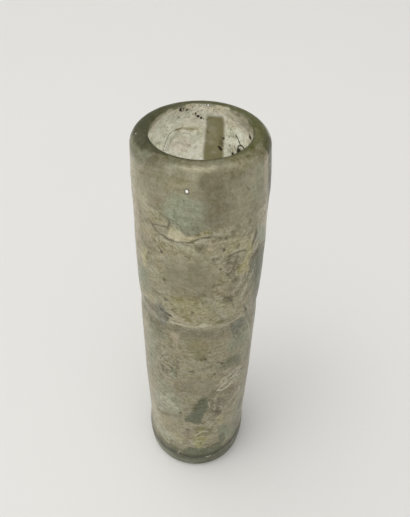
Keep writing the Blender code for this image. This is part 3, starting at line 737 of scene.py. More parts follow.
        (6.5, 54.8, 0.7, 0.6), (-43, 59.8, 0.6, 0.5), (-66, 108, 0.5, 0.5), (15.6, 125, 0.3, 0.5),
        (50, 35, 0.5, 0.4),
    ],
    # painted highlights: each a white core in a ring of painted shade, where a bubble or the lip
    # catches the light: (degrees, height, radius)
    "paintedGlints": [
        (-9.9, 143.8, 0.60), (60, 152.4, 0.2), (-84, 151.4, 0.26), (150, 139, 0.6),
    ],
    # where the streaks leave the level: (degrees, height, half width, half height, slope)
    "swirls": [
        (38, 60, 7.0, 9.0, 0.9), (55, 78, 6.0, 14.0, 1.4), (-45, 62, 6.0, 12.0, -0.8),
        (62, 115, 7.0, 18.0, 3.0), (24, 44, 4.0, 9.0, 2.4), (-50, 100, 6.0, 14.0, -0.7),
        (40, 110, 4.0, 9.0, 1.6), (-55, 25, 6.0, 10.0, -0.6), (40, 25, 6.0, 10.0, 0.7),
    ],
}

inside = {
    # partly the inner film's own pearly colour and partly painted light: the inside is lifted far
    # lighter to stand in for light that comes through the wall
    "gain": 2.16,
    "reach": 0.52,
    "upright": 1.25,
    "warmth": (1.03, 1.0, 1.0),
    "contrast": 1.2,
    "tinting": 0.9,
    "bands": [
        (0.0, "dusk", 1.0), (7.0, "greige", 1.0), (30.0, "sand", 1.0), (90.0, "pearl", 1.0),
        (141.0, "pearl", 1.0), (147.0, "pearl", 0.96), (149.2, "sand", 0.96), (149.8, "greige", 0.9),
    ],
    "softPatches": [
        (-50, 142.5, 1.6, 2.6, "mist", 1.0), (-30, 144.5, 3.6, 2.4, "haze", 0.8),
        (-35, 141.6, 1.6, 1.2, "green", 0.8), (-42, 140.6, 1.0, 1.0, "green", 0.7),
        (-16, 147.6, 1.6, 0.9, "green", 1.0), (-8, 142, 2.6, 2.6, "beige", 0.9),
        (-10, 140.2, 2.4, 0.5, "ochre", 1.0), (-21, 135.6, 2.8, 2.8, "pink", 0.6),
        (-6, 136.6, 2.0, 1.8, "haze", 0.8), (-66, 148, 3.6, 1.6, "pink", 0.9),
        (48, 146.6, 4.0, 1.6, "sand", 1.0), (33, 145, 2.0, 2.6, "sand", 0.8),
        (26, 148, 1.6, 0.8, "pale", 0.8), (48, 142.4, 1.4, 1.4, "greige", 0.6),
        (30, 133.6, 1.0, 1.6, "mist", 0.8), (60, 145.6, 3.0, 1.4, "straw", 0.8),
        (64, 147, 3.4, 3.4, "olive", 0.9), (-78, 148, 3.0, 2.6, "brown", 0.9),
        (50, 147, 4.6, 2.6, "beige", 0.9), (-62, 145, 3.0, 3.0, "beige", 0.9),
        (60, 146.5, 5.0, 3.4, "brown", 0.9), (46, 148.6, 6.0, 1.2, "umber", 0.8),
        (-82, 146, 4.0, 5.0, "olive", 0.9), (-66, 148.2, 4.0, 1.6, "umber", 0.8),
        (-46, 142.4, 5.0, 2.6, "pearl", 0.7), (-57, 144.6, 1.8, 2.0, "sand", 0.6),
        (38, 147.6, 3.0, 1.2, "beige", 0.6), (-30, 147.8, 3.0, 1.2, "beige", 0.5),
        (-24, 142.4, 1.6, 0.8, "green", 0.5), (7, 147.4, 4.6, 1.3, "beige", 0.8),
        (43.6, 136.3, 0.7, 0.5, "umber", 1.0), (-54, 149, 4.0, 1.2, "olive", 0.9),
        (-42, 149, 2.6, 0.9, "brown", 0.7), (62, 148.2, 3.0, 1.6, "olive", 0.8),
        (-60, 142.6, 1.0, 1.0, "pale", 0.8), (-6, 141.7, 2.0, 0.7, "sand", 0.8),
        (52, 145, 1.8, 0.9, "brown", 0.6), (42.5, 143.7, 0.9, 0.5, "brown", 0.6),
        (26, 140.4, 0.8, 0.8, "pale", 0.9), (50.4, 141, 1.2, 1.0, "pale", 0.6),
        (-2.5, 144, 1.8, 2.6, "greige", 0.6), (-14, 148.6, 4.0, 1.0, "brown", 0.6),
        (56, 141, 2.6, 2.0, "beige", 0.8), (32, 135, 3.0, 1.8, "greige", 0.6),
    ],
    "shapes": [
        ("pale", 0.7, 0.4, [(-33, 134), (-32, 136.6), (-28.4, 138.4), (-24, 139), (-17, 139.4),
            (-16, 138.6), (-23, 138), (-28, 137), (-30.6, 134.8)]),
        ("ochre", 0.8, 0.4, [(-28, 140.8), (-20, 141.5), (-10, 141.2), (-3, 140.6), (-3, 139.9),
            (-10, 140.2), (-20, 140.4), (-26, 140)]),
        ("pink", 0.6, 0.5, [(-27, 134), (-26, 137), (-20, 138.2), (-13, 137.6), (-10, 134.6),
            (-16, 133), (-22, 133)]),
    ],
    # a dull strip that hangs down inside the mouth
    "strip": {
        "degrees": 15.2, "halfWidth": 2.85, "top": 145.8, "topSoft": 1.1, "length": 14.0,
        "shift": 0.15, "slant": 0.052, "widening": 0.03,
    },
    "darkLines": [
        (0.26, 0.9, [(-41.4, 135), (-40.6, 135.6), (-39.2, 136.7), (-37.6, 137.7), (-34.3, 139.4),
            (-30, 140.5), (-25.6, 140.8), (-21, 140.8)]),
        (0.34, 0.3, [(-21, 140.8), (-16, 140.5), (-11.8, 140.2), (-2, 140)]),
        (0.20, 0.6, [(-37.2, 134.4), (-34.5, 136), (-32, 137.8), (-28, 139), (-22.2, 139.6)]),
        (0.18, 0.3, [(-29.3, 134), (-29.7, 135.1), (-27.5, 136), (-23.3, 136.3), (-19.2, 135.7),
            (-17.6, 134.4)]),
        (0.50, 1.3, [(16.9, 134.7), (18.8, 134.2), (20.4, 133.6)]),
        (0.22, 1.2, [(35.6, 140.2), (38.4, 139.1), (40.7, 137.7), (41.2, 137.2)]),
        (0.28, 1.3, [(38.4, 135.7), (38.9, 136.7), (41.7, 137.4), (44.4, 137.3), (46.6, 136.8),
            (49, 136.2)]),
        (0.22, 0.8, [(35, 136.9), (34.6, 135.9), (35.6, 135.2)]),
        (0.60, 1.4, [(54.4, 142.9), (55.2, 142.1), (56, 141.2)]),
        (0.30, 0.4, [(38, 143.6), (42, 144.6), (48, 145.6), (54, 146.2)]),
        (0.18, 0.8, [(18.2, 136.6), (20.4, 136.1), (22.4, 135.9)]),
        (0.18, 0.8, [(18.4, 135.7), (20.8, 135.2), (22.4, 135.1)]),
        (0.18, 0.8, [(19.6, 138.2), (21, 137.7), (22.8, 137.8)]),
        (0.18, 0.6, [(19, 137.3), (21.4, 136.9)]),
        (0.22, 0.4, [(-46, 142), (-44, 143.6), (-41, 144.8), (-37, 145.4)]),
        (0.20, 0.4, [(26.4, 143.4), (28.6, 144.8), (29.4, 146.4), (27.6, 147.4)]),
        (0.20, 0.4, [(33, 147.6), (36, 146.2), (37.6, 144.4)]),
    ],
    "paleLines": [
        (0.24, 1.0, [(-39, 134.7), (-37.6, 136), (-36, 137.2), (-33, 138.6), (-29, 139.8),
            (-25, 140.1)]),
        (0.32, 1.2, [(-35, 134.3), (-33.6, 135.9), (-31, 137.4), (-27, 138.5), (-21, 139), (-15, 139),
            (-11.6, 138.6), (-10.4, 137.7)]),
        (0.24, 1.0, [(36.4, 134.9), (37.4, 136), (39.6, 136.6)]),
        (0.20, 0.8, [(39.4, 136.2), (41.8, 136.7), (43.6, 136.2)]),
        (0.26, 0.9, [(23.4, 141.4), (24.8, 140.2), (25, 138.8)]),
        (0.24, 0.8, [(44.4, 141), (46, 139.6), (46.4, 138)]),
        (0.30, 0.8, [(-30, 148.6), (-36, 147.8), (-41, 146.6)]),
    ],
    "specks": [
        (-24.4, 148.5, 0.5, 1.4), (-16.6, 148, 0.4, 1.2), (-20.4, 148.6, 0.3, 0.8),
        (-6.2, 146.1, 0.36, 1.2), (-3.5, 144.9, 0.46, 1.4), (-0.4, 144.2, 0.42, 1.4),
        (-9, 145.8, 0.3, 0.8), (-24.8, 145.3, 0.5, 0.7), (-22.6, 147.6, 0.3, 0.6),
        (5.6, 143.6, 0.3, 0.7), (5.8, 139.3, 0.4, 0.5), (40.2, 135, 0.9, 1.4), (33, 133.3, 0.5, 1.4),
        (29.5, 136, 0.36, 0.6), (22.4, 137.8, 0.34, 1.0), (28.4, 138.9, 0.3, 0.7),
        (58, 145.2, 0.5, 0.7), (36, 139.6, 0.25, 0.8), (55.2, 142, 0.6, 1.4),
        (18.7, 134.2, 0.45, 1.4), (20, 133.8, 0.45, 1.4), (-36, 142.6, 0.3, 0.5),
        (-13.6, 145, 0.45, 0.4), (26.4, 137.6, 0.3, 0.6), (0.6, 147.6, 0.3, 0.7),
        (-4, 147.2, 0.3, 0.6), (8, 148.4, 0.3, 0.6), (14.6, 148.2, 0.3, 0.7), (21, 148.6, 0.3, 0.6),
        (-10, 148.8, 0.3, 0.6), (3, 148.8, 0.25, 0.7), (17.4, 147.4, 0.25, 0.6),
        (-30.6, 146, 0.3, 0.5), (-40, 139.6, 0.3, 0.5), (-12, 134.6, 0.4, 0.5), (-6, 134, 0.4, 0.5),
        (30, 141.6, 0.3, 0.6),
    ],
    # painted highlights: glints along the back of the lip, each a white core in a ring of painted
    # shade
    "paintedGlints": [
        (8, 149.5, 0.45), (3.4, 149.6, 0.2), (-1, 149.5, 0.32), (-8, 149.4, 0.2), (15, 149.3, 0.2),
        (-27, 149.4, 0.25),
    ],
}

surface = {
    "seed": 11,
    "sideShade": 0.125,    # painted shade and light: how much lighter the coat is on the right than on the left, evening out the window light from the left
    "warpGrain": 5.0,      # millimetres, of the noise that bends outlines
    "fineGrain": 1.5,      # and of the noise that frays them
    "outerRadius": 19.8,   # for measuring along the wall
    "innerRadius": 17.0,
    "degreeWidth": 0.345,  # of the strokes' degrees, in millimetres
    "pathGap": 1.4,        # between the points of a drawn line
    "taper": 1.8,          # how sharply a mark's strength falls off at its ends
    "bandWaver": 2.0,
    "softEdge": 0.5,
    "crispEdge": 0.14,
    "spread": 90,          # patches round the sides and back
    "spreadLines": 26,
    "strokes": 420,        # short thin curls all round
    "spreadSpecks": 40,
    "lumps": 0.07,         # depths of the relief, all of it inward
    "dimples": 0.045,
    "flake": 0.10,
    "groove": 0.14,
    "pit": 0.12,
    "inkGain": 1.04,
    "inkSide": 0.42,       # how much paler the lip's dark glass is on the right
    "baseInk": 0.52,
    "baseWidth": 1.45,     # of the painted shade line over the base
    "baseTop": (13.0, 9.0),    # the heights over which the thick base begins
    "stripGain": 0.84,
    # how clear the film is, from place to place
    "bareWall": 0.24,
    "bareTongue": 0.06,
    "bareBack": 0.80,
    "bareShoulder": 0.16,
    "bareInside": 0.06,
    "bareBase": 0.24,
    "bareLip": 0.12,
    "backFrom": (78.0, 100.0),     # the degrees and heights over which the clear back begins
    "backUp": (108.0, 120.0),
    # how much weaker or stronger its grain is
    "gritTongue": -0.25,
    "gritLip": 0.35,
    "gritInside": 0.1,
    "gritStrip": -0.85,
    "streakyInside": 0.15,
    "thickCalm": 0.7,      # how much smoother the bare lip and base are
}


def noiseField(points, grain, shift):
    # smooth noise from -1 to 1 at each point
    offset = Vector((shift, shift * 0.7, -shift * 1.3))
    return np.array([noise.noise(Vector(point) / grain + offset) for point in points])


def displayToLinear(colour):
    value = np.asarray(colour, float)
    return np.where(value <= 0.04045, value / 12.92, ((value + 0.055) / 1.055) ** 2.4)


def smoothStep(value, low, high):
    share = np.clip((value - low) / (high - low), 0.0, 1.0)
    return share * share * (3.0 - 2.0 * share)


class Skin:
    # every point of the vase's surface, by its side, its degrees round and its height
    def __init__(self, points):
        x, y, z = points.T
        radius = np.hypot(x, y)
        crown, stand = vase["crownRadius"], vase["standOuter"]
        self.outer = (radius > vase["wallMiddle"]) | (z > vase["crownFrom"]) & (radius > crown)
        self.outer |= (z < vase["footTo"]) & (radius > stand) | (z < vase["underTo"])
        self.round = np.degrees(np.arctan2(x, np.where(self.outer, -y, y)))
        self.facing = np.degrees(np.arctan2(x, -y))
        # how far over the lip a point is: 0 on the crown, and the inside is negative
        shoulderHeight, shoulderRadius = vase["outerSide"][0]
        past = radius - crown
        self.overLip = np.where(self.outer, 1.0, -1.0) * (tall - z)
        self.overLip += np.where(self.outer, np.maximum(past, 0.0), np.minimum(past, 0.0))
        crownUp = tall + shoulderRadius - crown
        self.height = np.where(self.outer & (z > shoulderHeight), crownUp - self.overLip, z)
        self.turn = np.radians(1.0) * np.where(self.outer, surface["outerRadius"],
                                               surface["innerRadius"])
        self.warpA = noiseField(points, surface["warpGrain"], 3.1)
        self.warpB = noiseField(points, surface["warpGrain"], 17.7)
        self.fineA = noiseField(points, surface["fineGrain"], 41.3)
        self.fineB = noiseField(points, surface["fineGrain"], 63.9)

    def across(self, degrees):
        # millimetres round the wall from a given place
        return ((self.round - degrees + 180.0) % 360.0 - 180.0) * self.turn

    def patch(self, place, size, soft, ragged=0.4):
        across = self.across(place[0]) + ragged * (size[0] * self.warpA + 0.7 * self.fineA)
        up = self.height - place[1] + ragged * (size[1] * self.warpB + 0.7 * self.fineB)
        return smoothStep(-np.hypot(across / size[0], up / size[1]), -1.0 - soft, -1.0 + soft)

    def edge(self, stations):
        degrees, heights = zip(*stations)
        return np.interp(self.facing, degrees, heights, period=360.0)

    def flattened(self, path, middle, here):
        # a path of (degrees, height) in millimetres along the wall
        return np.stack([(path[:, 0] - middle) * self.turn[here][0], path[:, 1]], axis=1)

    def shape(self, outline, soft, here, ragged):
        # 1 inside a closed outline of (degrees, height), 0 outside
        path = np.array(smoothCurve(outline + outline[:1], surface["pathGap"]), float)
        middle = path[:, 0].mean()
        line = self.flattened(path, middle, here)
        spot = np.stack([self.across(middle) + ragged * self.fineA,
                         self.height + ragged * self.fineB], axis=1)
        low, high = line.min(axis=0) - soft, line.max(axis=0) + soft
        index = np.flatnonzero(((spot > low) & (spot < high)).all(axis=1) & here)
        near = spot[index]
        away = np.full(len(index), 99.0)
        within = np.zeros(len(index), bool)
        for start, end in zip(line, line[1:]):
            along = end - start
            run = np.clip((near - start) @ along / max(along @ along, 1e-9), 0.0, 1.0)
            away = np.minimum(away, np.hypot(*(near - start - run[:, None] * along).T))
            crosses = (start[1] > near[:, 1]) != (end[1] > near[:, 1])
            rise = (near[:, 1] - start[1]) / (along[1] if along[1] else 1e-9)
            within ^= crosses & (near[:, 0] < start[0] + rise * along[0])
        share = np.zeros(len(self.height))
        share[index] = smoothStep(np.where(within, away, -away), -soft, soft)
        return share


def spreadPatches(chance):
    names = ["beige", "pale", "brown", "yellow", "ochre", "pink", "green", "sea", "slate", "moss"]
    patches = []
    for index in range(surface["spread"]):
        patches.append((chance.uniform(82, 278), chance.uniform(16, 140), chance.uniform(1.5, 5.0),
                        chance.uniform(1.5, 7.0), names[index % len(names)],
                        chance.uniform(0.4, 0.8)))
    return patches


def spreadLines(chance):
    lines = []
    for index in range(surface["spreadLines"]):
        degrees, height = chance.uniform(80, 270), chance.uniform(20, 135)
        rise = chance.uniform(-0.5, 0.5)
        points = [(degrees + 4.0 * step, height + rise * 1.4 * step + chance.uniform(-0.5, 0.5))
                  for step in range(int(chance.integers(3, 8)))]
        lines.append((chance.uniform(0.22, 0.32), chance.uniform(0.4, 0.8), points))
    return lines


def spreadStrokes(chance):
    # short curls, nearly level but where a swirl turns them
    strokes = []
    for index in range(surface["strokes"]):
        degrees, height = chance.uniform(-180, 180), chance.uniform(14, 128)
        heading, turn = chance.uniform(-0.4, 0.4), chance.uniform(-0.9, 0.9)
        for centre, up, wide, high, slope in outside["swirls"]:
            aside = (degrees - centre) * surface["degreeWidth"] / wide
            if math.hypot(aside, (height - up) / high) < 1.0:
                heading += math.atan(slope)
        step = chance.uniform(0.4, 1.3)
        points = [(degrees, height)]
        for bend in range(4):
            degrees += step * math.cos(heading) / surface["degreeWidth"]
            height += step * math.sin(heading)
            heading += turn / 4
            points.append((degrees, height))
        strokes.append((chance.uniform(0.14, 0.26), chance.uniform(0.3, 0.75), points))
    return strokes


def spreadSpecks(chance):
    return [(chance.uniform(75, 285), chance.uniform(16, 146), chance.uniform(0.3, 0.7),
             chance.uniform(0.5, 0.9)) for index in range(surface["spreadSpecks"])]


def lay(colour, tone, share):
    # brings the colours towards a tone, by each point's share
    colour += (displayToLinear(tones[tone]) - colour) * share[:, None]


def coatColours(skin, side, here, extraPatches):
    heights = [band[0] for band in side["bands"]]
    bands = np.array([displayToLinear(tones[tone]) * light for height, tone, light in side["bands"]])
    wavering = skin.height + skin.warpA * surface["bandWaver"]
    plain = np.stack([np.interp(wavering, heights, bands[:, i]) for i in range(3)], axis=1)
    colour = plain.copy()
    soft, crisp = extraPatches + side["softPatches"], side.get("crispPatches", [])
    for patches, edge in ((soft, surface["softEdge"]), (crisp, surface["crispEdge"])):
        for degrees, height, wide, high, tone, strength in patches:
            share = skin.patch((degrees, height), (wide, high), edge)
            lay(colour, tone, strength * share * here)
    for tone, strength, edge, outline in side["shapes"]:
        share = skin.shape(outline, edge, here, 0.5 if tone == "moss" else 0.3)
        lay(colour, tone, strength * share)
    change = colour / plain
    lightness = change.mean(axis=1, keepdims=True)
    colour = plain * (change / lightness) ** side["tinting"] * lightness ** side["contrast"]
    # painted shade and light: darker on the left, where the window light falls, lighter on the right
    toRight = np.sin(np.radians(skin.round)) * skin.outer
    colour *= 1.0 + surface["sideShade"] * toRight[:, None]
    return colour * side["gain"] * side["warmth"]


class Marks:
    # for each point: the way to the nearest line or spot, over its half width, and its strength
    def __init__(self, skin):
        self.skin = skin
        count = len(skin.height)
        self.reach = np.where(skin.outer, outside["reach"], inside["reach"])
        self.best = self.reach.copy()
        self.offset = np.full((count, 2), 9.0)
        self.strength = np.zeros(count)

    def keep(self, index, distance, offset, half, strength):
        better = distance < self.best[index]
        chosen = index[better]
        self.best[chosen] = distance[better]
        self.offset[chosen] = offset[better] / half
        self.strength[chosen] = strength[better]

    def addLine(self, here, half, force, points):
        path = np.array(smoothCurve(points, surface["pathGap"]), float)
        middle = path[len(path) // 2][0]
        line = self.skin.flattened(path, middle, here)
        across, height = self.skin.across(middle), self.skin.height
        widest = self.reach.max()
        low, high = line.min(axis=0) - widest, line.max(axis=0) + widest
        index = np.flatnonzero(here & (across > low[0]) & (across < high[0])
                               & (height > low[1]) & (height < high[1]))
        if not len(index):
            return
        spot = np.stack([across[index], height[index]], axis=1)
        reach = self.reach[index]
        taper = surface["taper"]
        last = len(line) - 2
        for segment, (start, end) in enumerate(zip(line, line[1:])):
            length = math.dist(start, end)
            along = (end - start) / max(length, 1e-6)
            way = spot - start
            run = way @ along
            aside = way[:, 0] * along[1] - way[:, 1] * along[0]
            past = np.maximum(run - length, 0.0) + np.maximum(-run, 0.0)
            distance = np.hypot(aside, past)
            atEnd = (run < 0.0) & (segment == 0) | (run > length) & (segment == last)
            side = np.where(atEnd, aside, np.sign(aside) * distance)
            fade = np.where(atEnd, 1.0 - taper * past / reach, 1.0)
            fade = np.clip(np.minimum(fade, taper - taper * np.abs(side) / reach), 0.0, 1.0)
            self.keep(index, distance, np.stack([side, 0 * side], axis=1), half, force * fade)

    def addSpeck(self, here, place, radius, force, upright=1.0):
        offset = np.stack([self.skin.across(place[0]),
                           (self.skin.height - place[1]) / upright], axis=1)
        distance = np.hypot(*offset.T)
        index = np.flatnonzero(here & (distance < self.reach + radius))
        taper = surface["taper"]
        fade = taper - taper * (distance[index] - radius) / self.reach[index]
        self.keep(index, distance[index] - radius, offset[index], radius,
                  force * np.clip(fade, 0.0, 1.0))

    def nearness(self):
        # 1 on a mark and 0 off it, for the relief
        return np.exp(-0.5 * np.hypot(*self.offset.T) ** 2) * self.strength

    def stored(self):
        return np.column_stack([self.offset, self.strength])


def storeVectors(mesh, name, vectors):
    layer = mesh.attributes.new(name, "FLOAT_VECTOR", "POINT")
    layer.data.foreach_set("vector", np.asarray(vectors, np.float32).ravel())


def storeColour(mesh, name, colour):
    full = np.ones((len(colour), 4), np.float32)
    full[:, :3] = np.clip(colour, 0.0, 0.95)
    mesh.attributes.new(name, "FLOAT_COLOR", "POINT").data.foreach_set("color", full.ravel())


def readVectors(data, name, count):
    flat = np.zeros(count * 3, np.float32)
    data.foreach_get(name, flat)
    return flat.reshape(-1, 3).astype(float)


def lipShare(skin):
    # 1 where the lip is bare dark glass, wavering at its ends
    start, end, veil = (skin.edge(outside["lip"][key]) for key in ("darkFrom", "darkTo", "veilTo"))
    soft = 0.25 + 1.3 * smoothStep(end, 1.0, 3.0)
    place = skin.overLip + soft * (0.8 * skin.warpA + 0.6 * skin.fineA)
    shade = np.maximum(smoothStep(place, end + soft, end - soft),
                       0.5 * smoothStep(place, veil + 1.6, veil - 1.6))
    return smoothStep(place, start - 0.8, start + 0.5) * shade


def stripShare(skin):
    # 1 on the dull strip that hangs inside the mouth
    strip = inside["strip"]
    down = strip["top"] - skin.height
    fall = np.clip(down, 0.0, strip["length"])
    aside = skin.across(strip["degrees"]) + 0.15 * skin.fineA + strip["shift"] + strip["slant"] * fall
    share = smoothStep(strip["halfWidth"] + strip["widening"] * fall - np.abs(aside), -0.5, 0.6)
    share *= smoothStep(down + 0.09 * aside + 0.5 * skin.warpB, -strip["topSoft"], strip["topSoft"])
    return share * ~skin.outer


def paintCoat(skin, patches, strip, rim):
    # the film's colours, then the dull strip, then the dark glass of the lip and the painted shade
    # line over the base
    colour = np.where(skin.outer[:, None], coatColours(skin, outside, skin.outer, patches),
                      coatColours(skin, inside, ~skin.outer, []))
    colour += (displayToLinear(tones["strip"]) * surface["stripGain"] - colour) * strip[:, None]
    # painted shade: the dark line where the inner floor's edge shows through the base
    line = bump(skin.height + 0.4 * skin.warpB, skin.edge(outside["paintedBaseLine"]),
                surface["baseWidth"]) * skin.outer
    ink = np.where(rim > line, 1.0 + surface["inkSide"] * np.sin(np.radians(skin.facing)),
                   surface["baseInk"])
    ink = displayToLinear(tones["ink"]) * surface["inkGain"] * ink[:, None]
    return colour + (ink - colour) * np.maximum(rim, line)[:, None]


def drawMarks(skin, lines, specks):
    # close specks go in turn to two sets, so that they stay apart
    kinds = ("darkLine", "paleLine", "speck", "otherSpeck", "paintedGlint")
    marks = {kind: Marks(skin) for kind in kinds}
    for side, here in ((outside, skin.outer), (inside, ~skin.outer)):
        for kind in ("darkLine", "paleLine"):
            for half, force, points in side[kind + "s"]:
                marks[kind].addLine(here, half, force, points)
        for index, (degrees, height, radius, force) in enumerate(side["specks"]):
            chosen = marks["otherSpeck" if index % 2 else "speck"]
            chosen.addSpeck(here, (degrees, height), radius, force, side["upright"])
        # the painted glints, each a white core in a dark ring
        for degrees, height, radius in side["paintedGlints"]:
            marks["paintedGlint"].addSpeck(here, (degrees, height), radius, 1.0, side["upright"])
    # of the spread lines every third is pale, and weaker
    for index, (half, force, points) in enumerate(lines):
        kind, share = ("darkLine", 1.0) if index % 3 else ("paleLine", 0.5)
        marks[kind].addLine(skin.outer, half, share * force, points)
    for degrees, height, radius, force in specks:
        marks["speck"].addSpeck(skin.outer, (degrees, height), radius, force)
    return marks


def bareShare(skin, tongue, strip, rim, base):
    # how much of the glass shows through the film
    outer = skin.outer
    back = smoothStep(np.abs(skin.round), *surface["backFrom"])
    back *= smoothStep(skin.height, *surface["backUp"])
    wall = surface["bareWall"] + surface["bareTongue"] * tongue + surface["bareBack"] * back
    bare = np.where(outer, wall, surface["bareInside"])
    bare -= surface["bareShoulder"] * smoothStep(skin.overLip, 7.0, 4.0) * outer * (1.0 - back)
    bare += (surface["bareBase"] - bare) * base
    bare += (surface["bareLip"] - bare) * rim
    return bare * (1.0 - strip)


def streakHeight(skin):
    # the height that the streaks follow, tilted where they leave the level
    drift = skin.height + 0.9 * skin.warpA
    for degrees, height, wide, high, slope in outside["swirls"]:
        share = skin.patch((degrees, height), (wide, high), 0.6)
        drift -= slope * skin.across(degrees) * share * skin.outer
    return drift


def gritAmount(skin, tongue, strip, rim):
    wall = 1.0 + surface["gritTongue"] * tongue + surface["gritLip"] * rim
    grit = np.where(skin.outer, wall, 1.0 + surface["gritInside"])
    grit *= 1.0 + surface["gritStrip"] * strip
    for degrees, height, wide, high, amount in outside["calm"]:
        share = skin.patch((degrees, height), (wide, high), 0.5)
        grit *= 1.0 + (amount - 1.0) * share * skin.outer
    return grit


def paintVase(mesh, skin):
    # stores what the material reads, and returns how deep the relief goes at each point
    chance = np.random.default_rng(surface["seed"])
    patches = spreadPatches(chance)
    lines = spreadLines(chance) + spreadStrokes(chance)
    specks = spreadSpecks(chance)
    outer = skin.outer
    strip, rim = stripShare(skin), lipShare(skin)
    base = smoothStep(skin.height, *surface["baseTop"]) * outer
    tongue = smoothStep(skin.height - skin.edge(outside["tongueEdge"]), -0.25, 0.25) * outer
    storeColour(mesh, "coat", paintCoat(skin, patches, strip, rim))
    marks = drawMarks(skin, lines, specks)
    for name, found in marks.items():
        storeVectors(mesh, name, found.stored())
    thick = np.maximum(rim, base)
    bare = bareShare(skin, tongue, strip, rim, base)
    storeVectors(mesh, "zones", np.column_stack([streakHeight(skin), thick, bare]))
    streaky = np.where(outer, 1.0, surface["streakyInside"])
    grit = gritAmount(skin, tongue, strip, rim)
    storeVectors(mesh, "finish", np.column_stack([grit, streaky, strip]))

    lumps = surface["lumps"] * (0.5 + 0.5 * skin.warpB)
    lumps += surface["dimples"] * (0.5 + 0.5 * skin.fineB)
    flaked = surface["flake"] * (1.0 - tongue) * outer
    pitted = np.maximum(marks["speck"].nearness(), marks["otherSpeck"].nearness())
    grooves = surface["groove"] * marks["darkLine"].nearness() + surface["pit"] * pitted
    calm = 1.0 - surface["thickCalm"] * thick
    depth = vase["skin"] + calm * (lumps + flaked) + grooves
    return depth * smoothStep(skin.height, 0.0, 1.5)


def insideFaces(mesh, skin):
    # which faces touch no outside point
    starts = np.zeros(len(mesh.polygons), np.int32)
    corners = np.zeros(len(mesh.loops), np.int32)
    mesh.polygons.foreach_get("loop_start", starts)
    mesh.loops.foreach_get("vertex_index", corners)
    return ~np.logical_or.reduceat(skin.outer[corners], starts)


def makeVase():
    mesh = spinVase()
    count = len(mesh.vertices)
    print("vase is turned:", count, "points,", len(mesh.polygons), "faces")
    points = readVectors(mesh.vertices, "co", count) / mm
    skin = Skin(points)
    depth = paintVase(mesh, skin)
    outward = readVectors(mesh.vertex_normals, "vector", count)
    placed = handBlown(points - outward * depth[:, None])
    mesh.vertices.foreach_set("co", (placed * mm).astype(np.float32).ravel())
    mesh.polygons.foreach_set("material_index", insideFaces(mesh, skin).astype(np.int32))
    mesh.update()
    print("weathering is on, at most", round(float(depth.max()), 2), "mm deep")
    piece = addObject("weathered_vase", mesh)
    for name, finish in finishes.items():
        mesh.materials.append(glassFinish(name, finish))
    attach(piece, "root")
    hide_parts("glass_vase")


# outside first, as the faces' material numbers have it
finishes = {
    "weatheredOutside": {
        "filmClear": 0.0,
        "gloss": 0.28,
        "markColour": (0.075, 0.065, 0.04, 1.0),
    },
    "weatheredInside": {
        "filmClear": 0.6,
        "gloss": 0.08,
        "markColour": (0.004, 0.003, 0.001, 1.0),
    },
}

glassColours = {
    "greenish": (0.97, 1.0, 0.975, 1.0),
    "reddish": (1.0, 0.98, 0.965, 1.0),
    # the pale lines' colour, for pale weathering and for the painted highlights among them
    "paleMark": (0.56, 0.52, 0.39, 1.0),
    # a painted glint's ring of shade, and its white core, a painted highlight
    "glintRingShade": (0.09, 0.08, 0.055, 1.0),
    "glintCoreColour": (0.95, 0.94, 0.90, 1.0),
    "clear": (0.92, 0.93, 0.83, 1.0),
    "thick": (0.20, 0.20, 0.10, 1.0),
}


def painted(glass, name):
    # the three values that paintVase stored under a name
    vector = glass.node("Attribute", {"attribute_name": name}, {}, "Vector")
    return [glass.node("SeparateXYZ", {}, {0: vector}, axis) for axis in "XYZ"]


def filmNoises(glass, drift):
    # what the film's grain is mixed from: each noise has its own shift, and a scale per millimetre
    place = glass.scaled(glass.node("TexCoord", {}, {}, "Object"), 1.0 / mm)
    x, y = (glass.node("SeparateXYZ", {}, {0: place}, axis) for axis in "XY")
    # streaks are far longer round the vase than up it
    flow = glass.node("CombineXYZ", {}, {"X": x * 0.16, "Y": y * 0.16, "Z": drift * 1.5})

    def grain(shift, scale, detail=2.0, roughness=0.6):
        moved = glass.node("VectorMath", {}, {0: place, 1: (shift, 0.4 * shift, 0.0)})
        return glass.grain(moved, scale, detail, roughness)

    return {
        "layers": grain(5.0, 0.19, 4.0),
        "flakes": grain(29.0, 0.45, 4.0, 0.62),
        "streaks": glass.grain(flow, 1.0, 2.0, 0.6),
        "clouds": grain(0.0, 0.33),
        "blots": grain(17.0, 0.9),
        "grains": grain(0.0, 2.4, 2.0, 0.7),
        "tint": grain(40.0, 0.22, 2.0, 0.5),
        "pits": glass.between(grain(63.0, 1.2, 3.0, 0.75), 0.60, 0.70),
        "flecks": glass.between(grain(85.0, 1.4, 3.0, 0.75), 0.60, 0.72),
    }


